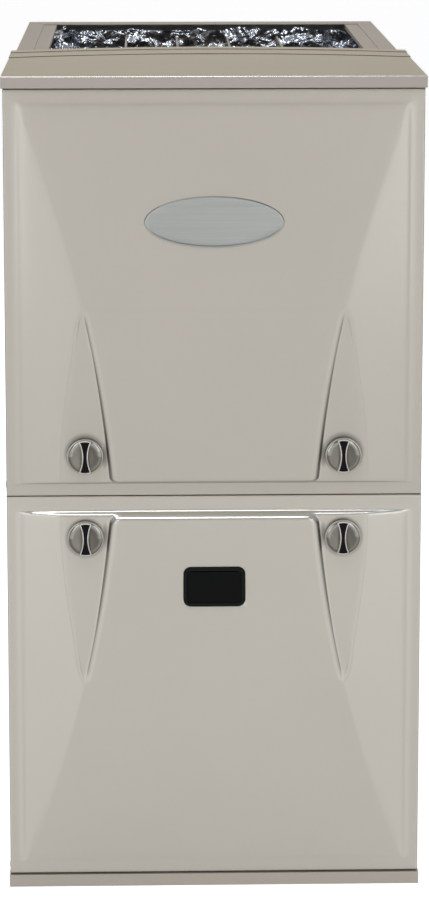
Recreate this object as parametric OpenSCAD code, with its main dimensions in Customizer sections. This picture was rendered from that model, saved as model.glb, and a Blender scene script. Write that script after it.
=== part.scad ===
// Forced air gas furnace: upflow condensing cabinet with two embossed front doors.
// Millimetres, origin at the middle of the footprint, +Z up, doors towards -Y.

/* [Cabinet] */
// Width of the casing across its sides
cabinet_w = 445; // [400:1:600]
// Height from the floor to the top front lip
cabinet_h = 889; // [860:1:1000]
// Depth of the casing behind the doors
cabinet_d = 724; // [690:1:800]
// Thickness of the casing sheet
sheet = 1; // [0.8:0.1:1.5]
// Width of the flange turned in beside each door
front_flange = 22; // [15:1:28]
// Height of the seam between the two doors
seam_z = 437; // [425:1:470]

/* [Top and base trim] */
// Height of the lip over the upper door
lip_h = 13; // [10:0.5:16]
// How far the top lip stands in front of the doors
lip_proud = 4; // [2:0.5:6]
// How far the top panel reaches past each side
lip_side = 2; // [1.5:0.5:4]
// How far the casing's top strips lie under the lip's top
strip_drop = 6; // [5.5:0.5:8]
// Rise of the top panel at mid width, where its first step is
top_crown = 4; // [2:0.5:6]
// Distance from the doors to the first step of the top panel
outlet_back = 197; // [185:1:230]
// Depth of the first step
step_1_l = 45; // [30:1:60]
// Depth of the second step, up to the outlet
step_2_l = 24; // [15:1:30]
// Width of the casing strip beside the outlet
strip_w = 20; // [14:1:24]
// Width of the rail and strip together
rail_w = 36.6; // [30:0.2:42]
// Depth of the strip behind the outlet
back_strip = 38; // [30:1:50]
// Height of the lip under the lower door
base_lip_h = 13.5; // [10:0.5:18]
// How far the base lip stands in front of the doors
base_lip_proud = 3; // [1:0.5:4]
// How far the base lip reaches past each side
base_lip_side = 1; // [0.5:0.5:3]

/* [Doors] */
// Depth of a door pan
door_t = 25; // [20:0.5:35]
// Thickness of the door sheet
door_sheet = 0.9; // [0.7:0.1:1.3]
// Width of the return flange behind a door
door_return = 12; // [6:1:14]
// Gap between a door pan and the casing front
pan_gap = 0.5; // [0.4:0.1:1]
// Gap between the two doors
seam_gap = 1.6; // [1.5:0.1:3]
// Gap between a door and its lip
lip_gap = 1; // [0.8:0.1:2]
// Width of the flat rim beside and beyond the embossed field
rim_w = 16; // [12:0.5:18]
// Width of the upper door's rim at the seam
seam_rim_upper = 13; // [11:0.5:17]
// Width of the lower door's rim at the seam
seam_rim_lower = 16; // [12:0.5:18]
// Relief of the panel at the seam
relief_near = 9; // [6:0.5:11]
// Relief of the panel at its far edge
relief_far = 1; // [0.6:0.1:2]
// Slope of the stamped walls
wall_angle = 60; // [50:1:70]
// Half width of the raised panel at the seam
panel_half_w = 109; // [100:1:112]
// Lean of the panel crease where it starts
crease_lean = 5.4; // [4.5:0.1:6]
// Radius of the long crease
crease_r = 1450; // [1400:10:1800]
// Length of the fin shaped pocket
pocket_l = 190; // [170:1:200]
// Width of the pocket at the seam
pocket_w = 53.5; // [50:0.5:60]

/* [Door knobs] */
// Diameter of a knob
knob_d = 38.6; // [34:0.2:42]
// How far a knob stands in front of the door rims
knob_proud = 13; // [12:0.5:20]
// Distance of a knob from the middle
knob_x = 138; // [135:0.5:140]
// Distance of a knob from the seam
knob_off = 45; // [42:0.5:50]
// Gap behind a knob
knob_gap = 0.5; // [0.4:0.1:1]
// Width of the grip at its ends
grip_end_w = 12; // [10:0.5:12]
// Width of the grip at its waist
grip_waist_w = 6; // [5:0.5:8]
// Border of the grip round its inlay
grip_border = 1; // [0.6:0.1:1.5]
// Depth of the inlay
inlay_t = 0.8; // [0.6:0.1:1.2]
// Diameter of a knob's shaft
latch_shaft_d = 12; // [9:0.5:14]
// Length of the latch head
latch_l = 30; // [26:1:34]
// Width of the latch head
latch_w = 12; // [12:0.5:15]
// Thickness of the latch head
latch_t = 4; // [3:0.5:6]
// Gap between a latch head and its slot
latch_gap = 3; // [2.5:0.5:4]
// Radial clearance of a running shaft
running_gap = 0.05; // [0.02:0.01:0.09]

/* [Sight window and plate] */
// Width of the sight window's frame
window_w = 66.6; // [56:0.2:80]
// Height of the frame
window_h = 44; // [38:0.5:56]
// Corner radius of the frame
window_r = 8; // [6:0.5:12]
// Width of the frame's rim
window_rim = 3; // [2.5:0.5:5]
// Height of the window's middle
window_z = 338; // [325:1:350]
// Length of the oval plate
plate_w = 148; // [120:1:170]
// Height of the oval plate
plate_h = 55; // [44:1:70]
// Thickness of the oval plate
plate_t = 1.6; // [1.2:0.1:2.5]
// Height of the plate's middle
plate_z = 734; // [700:1:760]

/* [Heat exchanger] */
// Distance between neighbouring cells
cell_pitch = 64; // [60:0.5:68]
// Width of a cell's first pass
cell_w = 40; // [34:1:46]
// Depth of the cells
cell_l = 470; // [420:1:490]
// How far the cell seams lie under the outlet
seam_drop = 18; // [15:1:25]
// Height of the open seam over a cell's shoulders
cell_seam = 17; // [12:1:22]
// Height of a cell's sloping shoulder
cell_shoulder = 19; // [14:1:24]
// Thickness of a pressed seam
seam_t = 2.4; // [2:0.2:3.6]
// Thickness of the foil faced insulation
insulation_t = 18; // [12:1:22]
// Height of the secondary coil
coil_h = 104; // [90:1:116]
// Number of fins in the secondary coil
coil_fins = 15; // [8:1:18]
// Diameter of a coil tube
coil_tube_d = 12; // [9:0.5:14]

/* [Burners and gas] */
// Diameter of a burner tube
burner_d = 32; // [26:1:36]
// Length of a burner
burner_l = 92; // [80:1:100]
// Height of the burner box
burner_box_h = 62; // [54:1:66]
// Outer diameter of the gas pipe
gas_pipe_d = 21.3; // [18:0.1:23]
// Wall of the gas pipe
gas_pipe_wall = 2.8; // [2:0.1:3.4]
// Diameter of the gas entry in the side
gas_hole_d = 44; // [36:1:50]
// Depth of the thread in the gas valve
gas_thread_l = 18; // [12:1:22]

/* [Inducer and vent] */
// Radius of the inducer housing
inducer_r = 76; // [70:1:80]
// Depth of the inducer housing
inducer_t = 40; // [36:1:44]
// Radius of the inducer wheel
inducer_wheel_r = 58; // [50:1:62]
// Number of inducer blades
inducer_blades = 12; // [8:1:16]
// Diameter of the inducer motor
inducer_motor_d = 84; // [70:1:90]
// Inner diameter of the vent elbow
vent_d = 52.5; // [48:0.5:54]
// Wall of the vent elbow
vent_wall = 3.9; // [3:0.1:4.5]
// Outer diameter of the vent pipe that plugs in
vent_pipe_d = 60.3; // [56:0.1:62]
// Depth of the socket for it
vent_socket_l = 28; // [20:1:32]

/* [Blower] */
// Outer radius of the blower wheel
wheel_r = 127; // [118:1:130]
// Width of the blower wheel
wheel_w = 203; // [170:1:210]
// Depth of a blade from tip to heel
blade_depth = 21; // [16:1:24]
// Number of blades
blade_count = 36; // [24:1:44]
// Thickness of a blade
blade_t = 1; // [0.8:0.1:1.4]
// Width of the blower housing
housing_w = 236; // [230:1:260]
// Scroll radius at the cutoff
scroll_r0 = 138; // [135:1:145]
// Scroll radius at the outlet
scroll_r1 = 188; // [180:1:195]
// Diameter of the blower motor
blower_motor_d = 136; // [120:1:144]
// Length of the blower motor
blower_motor_l = 120; // [100:1:130]
// Diameter of the blower shaft
blower_shaft_d = 12.7; // [10:0.1:16]

/* [Filter and base] */
// Space between the air filter and each side of the casing
filter_side_gap = 21.5; // [8:0.5:30]
// Depth of the air filter
filter_l = 610; // [560:1:640]
// Thickness of the air filter
filter_t = 25; // [20:1:30]
// Number of pleats
filter_pleats = 24; // [12:1:36]
// Distance from each side to the return air opening
return_side = 37.5; // [32:0.5:50]
// Depth of the return air opening
return_l = 560; // [500:1:580]
// Height of the flange round the return opening
return_flange = 20; // [14:1:24]

/* [Controls] */
// Width of the control box
control_w = 220; // [180:1:240]
// Travel of the door switch
switch_travel = 3; // [2:0.5:4]
// Diameter of the switch plunger
plunger_d = 6; // [4:0.5:7]

/* [Hidden] */
$fn = 48;

// Colours
beige = "#b5afa6";
trim_beige = "#a6a199";
steel = "#9aa0a3";
foil = "#c9ccce";
dark_plastic = "#2b2d2f";
grey_plastic = "#8d8a83";
brass = "#b08d4a";
black = "#141516";

// Main planes, from the middle of the whole depth
overall_d = knob_proud + door_t + cabinet_d;
face_y = knob_proud - overall_d / 2;
front_y = face_y + door_t;
back_y = overall_d / 2;
half_w = cabinet_w / 2;
inner_w = half_w - sheet;
strip_z = cabinet_h - strip_drop;
outlet_y = face_y + outlet_back;
step_y = outlet_y + step_1_l;
opening_y = step_y + step_2_l;
step_lap = 12;
crown_steps = 12;
vestibule_y = outlet_y + sheet;
overlap = 0.2;
seam_clear = 0.1;

// Door outlines
field_half_w = half_w - rim_w;
upper_z0 = seam_z + seam_gap / 2;
upper_z1 = cabinet_h - lip_h - lip_gap;
lower_z0 = base_lip_h + lip_gap;
lower_z1 = seam_z - seam_gap / 2;
upper_field = upper_z1 - upper_z0 - rim_w - seam_rim_upper;
lower_field = lower_z1 - lower_z0 - rim_w - seam_rim_lower;
wall_run = 1 / tan(wall_angle);
least_step = 0.4;
bevel_l = relief_near * wall_run + least_step;

// Where the panel surface lies behind the window and the plate, and how it leans
plate_gap = 0.05;
window_fit = 0.25;
window_front = 1.8;
window_t = lower_z1 - seam_rim_lower - window_z;
window_y = face_y - panel_relief(window_t, lower_field);
window_lean = atan((relief_near - relief_far) / lower_field);
plate_at = plate_z - upper_z0 - seam_rim_upper;
plate_y = face_y - panel_relief(plate_at, upper_field) - plate_gap;
plate_lean = -atan((relief_near - relief_far) / upper_field);

// Knobs and latches
inlay_clear = 0.4;
knob_t = knob_off - seam_gap / 2 - seam_rim_upper;
knob_back_y = face_y - floor_relief(knob_t, upper_field) - knob_gap;
knob_h = knob_back_y - (face_y - knob_proud);
knob_rim_h = knob_h * 0.6;
latch_rail_y = front_y + sheet;
latch_head_y = latch_rail_y + sheet + 2;
latch_shaft_l = latch_head_y - knob_back_y;
slot_h = latch_l + 2 * latch_gap;
slot_w = latch_w + 2 * latch_gap;
latch_rail_half = knob_off + slot_h / 2 + 5;
rail_return = 10;

// Heat exchanger
cell_top = cabinet_h - seam_drop;
cell_y0 = vestibule_y + sheet;
pass_1 = [cell_top - cell_seam - cell_shoulder - 14, cell_shoulder + 14, cell_w / 2];
pass_2 = [pass_1[0] - 68, 22, cell_w * 0.35];
pass_3 = [pass_2[0] - 56, 18, cell_w * 0.28];
seam_bottom = pass_3[0] - pass_3[1] - 14;
coupling_l = 40;
coil_z0 = seam_z + sheet + 24;
coil_w = 300;
coil_tube_pitch = 44;
coil_tube_wall = 1;
coil_sheet_t = 2;
coil_fin_t = 0.8;
coil_end = 20;
coil_inset = 6;
deck_top = seam_z + sheet;
pad_gap = 0.3;
pad_top = strip_z - 2 * sheet - pad_gap;

// Vestibule
collector_t = 32;
collector_w = 230;
collector_h = 140;
collector_flange_t = 4;
collector_z0 = deck_top + 20;
inducer_x = 20;
inducer_z = collector_z0 + 92;
inducer_y = outlet_y - collector_t - inducer_t;
inducer_wall = 3;
inducer_shaft_d = 8;
inducer_motor_l = 56;
duct_off = inducer_r + 12;
duct_top = collector_z0 + collector_h + 5 - inducer_z;
burner_z = pass_1[0];
burner_box_l = 70;
burner_box_w = 3 * cell_pitch + 72;
burner_y = outlet_y - 16 - burner_l;
burner_box_y = outlet_y + sheet - burner_box_l;
manifold_y = burner_y - 8 - gas_pipe_d / 2;
probe_x = 1.5 * cell_pitch + 24;
probe_y = outlet_y - burner_box_l * 0.45;
igniter_r = 6;
sensor_r = 4.5;
valve_x = -3 * cell_pitch / 2 - 62;
valve_size = [56, 52, 70];
valve_y = manifold_y;
valve_z = burner_z - 56;
gas_inlet_z = valve_z - 8;
vent_z = inducer_z + 150;
vent_y = inducer_y + inducer_t / 2;
vent_bend = 55;
vent_socket_r = vent_pipe_d / 2 + 0.15;
trap_x = -inner_w + 4;
trap_size = [46, 80, 118];
trap_port_h = 12;
drain_z = deck_top + 40;
drain_y = outlet_y - 110;
drain_hole_d = 24;
hose_d = 9;
switch_cx = -inner_w + 40;
switch_cy = outlet_y - 30;
switch_cz = collector_z0 + 190;
junction_y = front_y + 70;
junction_z = collector_z0 + 60;
conduit_d = 22.2;
conduit_gap = 3;

// Blower, with its axis along X
blower_y = 96;
blower_z = deck_top - scroll_r1 - 4;
scroll_start = 70;
scroll_turn = 250;
outlet_front_y = blower_y - scroll_r1;
outlet_rear_y = blower_y + scroll_r0 * cos(scroll_start);
motor_x0 = -housing_w / 2 - 36;
motor_x1 = motor_x0 + blower_motor_l;
inlet_r = wheel_r - blade_depth - 1;

// Filter and controls
filter_z = return_flange + sheet;
filter_w = 2 * (inner_w - filter_side_gap);
return_w = cabinet_w - 2 * return_side;
filter_y0 = front_y + 30;
return_y0 = filter_y0 + (filter_l - return_l) / 2;
return_lip = 18;
control_y = front_y + 60;
control_z1 = seam_z;
control_z0 = window_z - 96;
switch_x = 62;
plunger_z = lower_z1 - door_return / 2;
plunger_gap = 0.2;
plunger_in = 12;

// Side screws: [side, height] of each, and the screw itself
screw_y = front_y + 9;
screw_spots = [[-1, base_lip_h - 1.5], [1, base_lip_h - 1.5], [-1, seam_z + 5]];
screw_r = 1.9;
screw_head_t = 2;

// ---- shared shapes ----

// Box between two corners
module block(low, high) {
  translate(low) cube(high - low);
}

// Rods along each axis, from a point
module rod_x(p, r, l) {
  translate(p) rotate([0, 90, 0]) cylinder(r = r, h = l);
}
module rod_y(p, r, l) {
  translate(p) rotate([-90, 0, 0]) cylinder(r = r, h = l);
}
module rod_z(p, r, l) {
  translate(p) cylinder(r = r, h = l);
}

// Flat outline with four round corners
module round_rect(w, h, r) {
  square([w - 2 * r, h], center = true);
  square([w, h - 2 * r], center = true);
  for (sx = [-1, 1], sy = [-1, 1])
    translate([sx * (w / 2 - r), sy * (h / 2 - r)]) circle(r = r);
}

// Upright plate in the X-Z plane, its front at y, leaning with the door panel
module on_panel(x, y, z, lean) {
  translate([x, y, z]) rotate([90 + lean, 0, 0]) children();
}

// ---- door embossing ----

// Relief of the raised panel at a distance t from the seam edge of the field
function panel_relief(t, field) =
  relief_near + (relief_far - relief_near) * min(max(t, 0), field) / field;

// Half width of the raised panel: an arc that leans outwards from the seam
function crease_x(t) =
  min(field_half_w - 3 * least_step,
      panel_half_w + crease_r * cos(crease_lean)
      - sqrt(pow(crease_r, 2) - pow(t + crease_r * sin(crease_lean), 2)));

// Relief of the sloping side facet at a distance x from the middle
function facet_relief(x, t, field) =
  relief_far + (panel_relief(t, field) - relief_far)
  * (field_half_w - x) / max(field_half_w - crease_x(t), least_step);

// Outer edge of the pocket: full width at the seam, closing in a curve to the tip
function pocket_x(t) =
  crease_x(t) + max(2 * least_step,
    t > pocket_l ? 0 : pocket_w * (1 - pow(max(t, 0) / pocket_l, 1.55)));

// Relief of the pocket's floor
function floor_relief(t, field) = facet_relief(pocket_x(t), t, field);

// Width of the wall between panel and pocket floor
function wall_w(t, field) =
  max(least_step, (panel_relief(t, field) - floor_relief(t, field)) * wall_run);

// Columns from the middle outwards: [x, relief]
function half_columns(t, field) = [
  [crease_x(t) * 0.5, panel_relief(t, field)],
  [crease_x(t) - least_step, panel_relief(t, field)],
  [crease_x(t) + least_step / 2, panel_relief(t, field) - 0.1],
  [min(crease_x(t) + wall_w(t, field), pocket_x(t) - least_step / 2), floor_relief(t, field)],
  [pocket_x(t), floor_relief(t, field)],
  [(pocket_x(t) + field_half_w) / 2, facet_relief((pocket_x(t) + field_half_w) / 2, t, field)],
  [field_half_w, relief_far],
  [field_half_w + relief_far, 0],
  [half_w, 0]
];

// One row across the door, left to right: [x, distance from the seam edge, relief]
function door_row(t, field) =
  let (half = half_columns(t, field))
  concat(
    [for (i = [len(half) - 1:-1:0]) [-half[i][0], t, half[i][1]]],
    [[0, t, panel_relief(t, field)]],
    [for (c = half) [c[0], t, c[1]]]
  );

// Row along the top of the bevel at the seam, which climbs from one straight foot
function bevel_row(field) =
  [for (p = door_row(0, field)) [p[0], max(p[2], least_step) * wall_run, p[2]]];

// Row that lies flat in the rim, at one distance for every column
function rim_row(t, at, field) = [for (p = door_row(at, field)) [p[0], t, 0]];

// All rows from the seam edge of the door to its far edge
function door_rows(seam_rim, field) = concat(
  [rim_row(-seam_rim, 0, field)],
  [rim_row(0, 0, field)],
  [bevel_row(field)],
  [for (i = [0:1:12]) door_row(bevel_l + (pocket_l - bevel_l) * i / 13, field)],
  [door_row(pocket_l * 0.975, field)],
  [for (i = [0:1:8]) door_row(pocket_l + (field - pocket_l) * i / 8, field)],
  [rim_row(field + relief_far, field, field)],
  [rim_row(field + rim_w, field, field)]
);

// Closed skin of a door from its seam edge: up is 1 for the door above the seam, else -1
module door_skin(z_seam, up, seam_rim, field) {
  rows = door_rows(seam_rim, field);
  cols = len(rows[0]);
  count = len(rows);
  place = function(p, back) [
    p[0], face_y - p[2] + (back ? door_sheet : 0), z_seam + up * (p[1] + seam_rim)
  ];
  front = [for (r = rows) for (p = r) place(p, false)];
  rear = [for (r = rows) for (p = r) place(p, true)];
  n = len(front);
  at = function(i, j) i * cols + j;
  turn = function(f) up > 0 ? f : [f[2], f[1], f[0]];
  faces = concat(
    [for (i = [0:1:count - 2]) for (j = [0:1:cols - 2])
      for (f = [[at(i, j), at(i + 1, j), at(i + 1, j + 1)],
                [at(i, j), at(i + 1, j + 1), at(i, j + 1)]]) turn(f)],
    [for (i = [0:1:count - 2]) for (j = [0:1:cols - 2])
      for (f = [[n + at(i, j), n + at(i + 1, j + 1), n + at(i + 1, j)],
                [n + at(i, j), n + at(i, j + 1), n + at(i + 1, j + 1)]]) turn(f)],
    [for (i = [0:1:count - 2])
      for (f = [[at(i, 0), n + at(i, 0), n + at(i + 1, 0)],
                [at(i, 0), n + at(i + 1, 0), at(i + 1, 0)]]) turn(f)],
    [for (i = [0:1:count - 2])
      for (f = [[at(i, cols - 1), n + at(i + 1, cols - 1), n + at(i, cols - 1)],
                [at(i, cols - 1), at(i + 1, cols - 1), n + at(i + 1, cols - 1)]]) turn(f)],
    [for (j = [0:1:cols - 2])
      for (f = [[at(0, j), n + at(0, j + 1), n + at(0, j)],
                [at(0, j), at(0, j + 1), n + at(0, j + 1)]]) turn(f)],
    [for (j = [0:1:cols - 2])
      for (f = [[at(count - 1, j), n + at(count - 1, j), n + at(count - 1, j + 1)],
                [at(count - 1, j), n + at(count - 1, j + 1), at(count - 1, j + 1)]]) turn(f)]
  );
  polyhedron(points = concat(front, rear), faces = faces, convexity = 6);
}

// Edge flanges and return flanges behind a door skin
module door_flanges(z0, z1) {
  depth = door_t - pan_gap;
  difference() {
    block([-half_w, face_y + door_sheet / 2, z0], [half_w, face_y + depth, z1]);
    block([-half_w + door_sheet, face_y, z0 + door_sheet],
          [half_w - door_sheet, face_y + depth - door_sheet, z1 - door_sheet]);
    block([-half_w + door_return, face_y, z0 + door_return],
          [half_w - door_return, face_y + door_t, z1 - door_return]);
  }
}

// Holes for the two latch shafts of a door
module shaft_holes(z) {
  for (side = [-1, 1])
    rod_y([side * knob_x, face_y - relief_near - 5, z],
          latch_shaft_d / 2 + running_gap, relief_near + door_t / 2 + 5);
}

// ---- doors ----

module upper_door() {
  color(beige) difference() {
    union() {
      door_skin(upper_z0, 1, seam_rim_upper, upper_field);
      door_flanges(upper_z0, upper_z1);
    }
    shaft_holes(seam_z + knob_off);
  }
}

module lower_door() {
  color(beige) difference() {
    union() {
      door_skin(lower_z1, -1, seam_rim_lower, lower_field);
      door_flanges(lower_z0, lower_z1);
    }
    shaft_holes(seam_z - knob_off);
    on_panel(0, window_y + 10, window_z, window_lean)
      linear_extrude(20)
        round_rect(window_w - 2 * window_rim, window_h - 2 * window_rim, window_r - window_rim);
  }
}

// Ellipse as a polygon
module oval(w, h, steps) {
  polygon([for (i = [0:1:steps - 1]) [w / 2 * cos(360 * i / steps), h / 2 * sin(360 * i / steps)]]);
}

module badge_plate() {
  lip = 1.5;
  color("#aab0b2") on_panel(0, plate_y, plate_z, plate_lean) {
    linear_extrude(plate_t * 0.6) oval(plate_w, plate_h, 64);
    linear_extrude(plate_t) oval(plate_w - 2 * lip, plate_h - 2 * lip, 64);
  }
}

module window_frame() {
  hole_w = window_w - 2 * window_rim;
  hole_h = window_h - 2 * window_rim;
  hole_r = window_r - window_rim;
  lip = 1.2;
  color(black) on_panel(0, window_y, window_z, window_lean) difference() {
    union() {
      linear_extrude(window_front) round_rect(window_w, window_h, window_r);
      translate([0, 0, -5]) linear_extrude(5 + overlap)
        round_rect(hole_w - 2 * window_fit, hole_h - 2 * window_fit, hole_r - window_fit);
    }
    translate([0, 0, -6]) linear_extrude(10)
      round_rect(hole_w - 2 * lip - 2 * window_fit, hole_h - 2 * lip - 2 * window_fit, hole_r - lip);
  }
}

module sight_window() {
  lip = 1.2;
  color("#0b0e0d") on_panel(0, window_y, window_z, window_lean)
    translate([0, 0, -2]) linear_extrude(2 + window_front * 0.6)
      round_rect(window_w - 2 * (window_rim + lip + window_fit),
                 window_h - 2 * (window_rim + lip + window_fit), window_r - window_rim - lip);
}

// ---- knobs ----

// Hourglass outline: a disc bitten by two big circles
module hourglass(r, end_w, waist_w) {
  reach = sqrt(pow(r, 2) - pow(end_w / 2, 2));
  bite = (pow(reach, 2) + pow((end_w - waist_w) / 2, 2)) / (end_w - waist_w);
  difference() {
    intersection() {
      circle(r = r);
      square([end_w, 2 * r + 2], center = true);
    }
    for (side = [-1, 1]) translate([side * (waist_w / 2 + bite), 0]) circle(r = bite, $fn = 160);
  }
}

// Knob with its shaft and latch head, turned so that the grip stands upright
module knob(side, z) {
  r = knob_d / 2;
  color(grey_plastic) translate([side * knob_x, knob_back_y, z]) rotate([90, 0, 0]) {
    difference() {
      union() {
        rotate_extrude($fn = 96) polygon([
          [0, 0], [r - 0.6, 0], [r, 0.6], [r, knob_rim_h - 1], [r - 1, knob_rim_h],
          [r - 2, knob_rim_h], [r - 5, knob_rim_h - 1.6], [0, knob_rim_h - 2.4]
        ]);
        linear_extrude(knob_h) hourglass(r - 0.5, grip_end_w, grip_waist_w);
      }
      translate([0, 0, knob_h - inlay_t / 2]) linear_extrude(inlay_t)
        hourglass(r - 0.5 - grip_border - inlay_clear, grip_end_w - 2 * grip_border,
                  grip_waist_w - 2 * grip_border);
    }
    translate([0, 0, -latch_shaft_l]) cylinder(d = latch_shaft_d, h = latch_shaft_l + overlap);
    translate([0, 0, -latch_shaft_l - latch_t]) linear_extrude(latch_t)
      round_rect(latch_w, latch_l, latch_w / 3);
  }
}

module inlay(side, z) {
  color(black) translate([side * knob_x, knob_back_y, z]) rotate([90, 0, 0])
    translate([0, 0, knob_h - inlay_t / 2]) linear_extrude(inlay_t / 2)
      hourglass(knob_d / 2 - 0.5 - grip_border - inlay_clear, grip_end_w - 2 * grip_border,
                grip_waist_w - 2 * grip_border);
}

module knob_upper_left() { knob(-1, seam_z + knob_off); }
module knob_upper_right() { knob(1, seam_z + knob_off); }
module knob_lower_left() { knob(-1, seam_z - knob_off); }
module knob_lower_right() { knob(1, seam_z - knob_off); }
module inlay_upper_left() { inlay(-1, seam_z + knob_off); }
module inlay_upper_right() { inlay(1, seam_z + knob_off); }
module inlay_lower_left() { inlay(-1, seam_z - knob_off); }
module inlay_lower_right() { inlay(1, seam_z - knob_off); }

// ---- casing ----

module casing_wrapper() {
  color(beige) difference() {
    union() {
      linear_extrude(strip_z) polygon([
        [-half_w + front_flange, front_y], [-half_w, front_y], [-half_w, back_y],
        [half_w, back_y], [half_w, front_y], [half_w - front_flange, front_y],
        [half_w - front_flange, front_y + sheet], [inner_w, front_y + sheet],
        [inner_w, back_y - sheet], [-inner_w, back_y - sheet],
        [-inner_w, front_y + sheet], [-half_w + front_flange, front_y + sheet]
      ]);
      for (side = [-1, 1])
        block([side > 0 ? half_w - strip_w : -half_w, opening_y, strip_z - sheet],
              [side > 0 ? half_w : -half_w + strip_w, back_y, strip_z]);
      block([-half_w, back_y - back_strip, strip_z - sheet], [half_w, back_y, strip_z]);
    }
    rod_x([-half_w - 1, valve_y, gas_inlet_z], gas_hole_d / 2, sheet + 2);
    rod_x([-half_w - 1, drain_y, drain_z], drain_hole_d / 2, sheet + 2);
    rod_x([half_w - sheet - 1, vent_y, vent_z], vent_socket_r + 1, sheet + 2);
    rod_x([half_w - sheet - 1, junction_y, junction_z], conduit_d / 2 + conduit_gap, sheet + 2);
    screw_shanks();
  }
}

module base_pan() {
  flange = 25;
  lip_y = face_y - base_lip_proud;
  color(beige) {
    difference() {
      block([-inner_w, front_y + sheet, 0], [inner_w, back_y - sheet, flange]);
      block([-inner_w + sheet, front_y + 2 * sheet, sheet],
            [inner_w - sheet, back_y - 2 * sheet, flange + 1]);
      block([-return_w / 2, return_y0, -1], [return_w / 2, return_y0 + return_l, sheet + 1]);
      screw_shanks();
    }
    difference() {
      block([-return_w / 2 - sheet, return_y0 - sheet, 0],
            [return_w / 2 + sheet, return_y0 + return_l + sheet, filter_z]);
      block([-return_w / 2, return_y0, -1], [return_w / 2, return_y0 + return_l, filter_z + 1]);
    }
    // The flange turns outwards at its top, where the filter rests
    difference() {
      block([-return_w / 2 - return_lip, return_y0 - return_lip, filter_z - sheet],
            [return_w / 2 + return_lip, return_y0 + return_l + return_lip, filter_z]);
      block([-return_w / 2, return_y0, 0], [return_w / 2, return_y0 + return_l, filter_z + 1]);
    }
    // Front lip, an open channel under the lower door
    difference() {
      block([-half_w - base_lip_side, lip_y, 0], [half_w + base_lip_side, front_y, base_lip_h]);
      block([-half_w - base_lip_side + sheet, lip_y + sheet, sheet],
            [half_w + base_lip_side - sheet, front_y - sheet, base_lip_h - sheet]);
    }
    block([-half_w + front_flange, front_y - sheet, 0],
          [half_w - front_flange, front_y + 2 * sheet, base_lip_h]);
  }
}

// Stations across the top panel, and the rise of its crown at x
function crown_xs(half) = [for (i = [-crown_steps:1:crown_steps]) half * i / crown_steps];
function crown_rise(x, half) =
  let (r = (pow(half, 2) + pow(top_crown, 2)) / (2 * top_crown)) top_crown - r + sqrt(r * r - x * x);

// Sheet laid through stations along y: [depth, share of the crown] of each, with its top at z
module crowned_sheet(half, stations, z) {
  xs = crown_xs(half);
  n = len(xs);
  m = len(stations);
  polyhedron(
    points = [for (s = stations, t = [0, sheet], x = xs) [x, s[0], z - t + s[1] * crown_rise(x, half)]],
    faces = concat(
      [for (j = [0:1:m - 2], i = [0:1:n - 2], up = [0, 1])
        let (k = 2 * n * j + i) up > 0 ? [k, k + 2 * n, k + 2 * n + 1] : [k, k + 2 * n + 1, k + 1]],
      [for (j = [0:1:m - 2], i = [0:1:n - 2], up = [0, 1])
        let (k = 2 * n * j + n + i) up > 0 ? [k, k + 2 * n + 1, k + 2 * n] : [k, k + 1, k + 2 * n + 1]],
      [for (i = [0:1:n - 2]) [n + i, i, i + 1, n + i + 1]],
      [for (i = [0:1:n - 2]) let (k = 2 * n * (m - 1) + i) [k + n, k + n + 1, k + 1, k]],
      [for (j = [0:1:m - 2]) let (k = 2 * n * j) [k + n, k + 3 * n, k + 2 * n, k]],
      [for (j = [0:1:m - 2]) let (k = 2 * n * j + n - 1) [k + n, k, k + 2 * n, k + 3 * n]]
    )
  );
}

// Band with the full crown, which rises from z0 to z1
module crowned_band(half, y0, y1, z0, z1) {
  xs = crown_xs(half);
  translate([0, y1, 0]) rotate([90, 0, 0]) linear_extrude(y1 - y0) polygon(concat(
    [for (x = xs) [x, z1 + crown_rise(x, half)]],
    [for (i = [len(xs) - 1:-1:0]) [xs[i], z0 + crown_rise(xs[i], half)]]
  ));
}

module top_front_panel() {
  out = half_w + lip_side;
  lip_y = face_y - lip_proud;
  y1 = outlet_y + step_lap;
  rim = 2 * sheet;
  color(trim_beige) {
    difference() {
      block([-out, lip_y, cabinet_h - lip_h], [out, y1, cabinet_h - sheet / 2]);
      block([-out + rim, lip_y + rim, cabinet_h - lip_h - 1], [out - rim, y1 + 1, cabinet_h + 1]);
    }
    crowned_sheet(out, [[lip_y, 0], [outlet_y, 1], [y1, 1]], cabinet_h);
  }
}

// Two sheets stepped up over the top panel, turned down at the outlet and at both sides
module outlet_front_flange() {
  out = half_w + lip_side;
  color(trim_beige) {
    crowned_band(out, outlet_y, step_y, cabinet_h, cabinet_h + sheet);
    crowned_band(out, step_y, opening_y, cabinet_h, cabinet_h + 2 * sheet);
    for (side = [-1, 1])
      block([side > 0 ? half_w : -out, outlet_y + step_lap, cabinet_h - lip_h],
            [side > 0 ? out : -half_w, opening_y, cabinet_h + sheet / 2]);
    crowned_band(inner_w, opening_y - sheet, opening_y, strip_z - sheet, cabinet_h + sheet);
  }
}

// Inner rail of the outlet, hooked under the casing's top strip
module outlet_rail(side) {
  drop = 5;
  a = inner_w - half_w + rail_w;
  color(trim_beige) scale([side, 1, 1]) {
    block([inner_w - a, opening_y, strip_z - 2 * sheet], [inner_w, back_y - sheet, strip_z - sheet]);
    block([inner_w - a, opening_y, strip_z - sheet - drop],
          [inner_w - a + sheet, back_y - back_strip, strip_z - sheet]);
  }
}

module outlet_rail_left() { outlet_rail(-1); }
module outlet_rail_right() { outlet_rail(1); }

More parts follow.
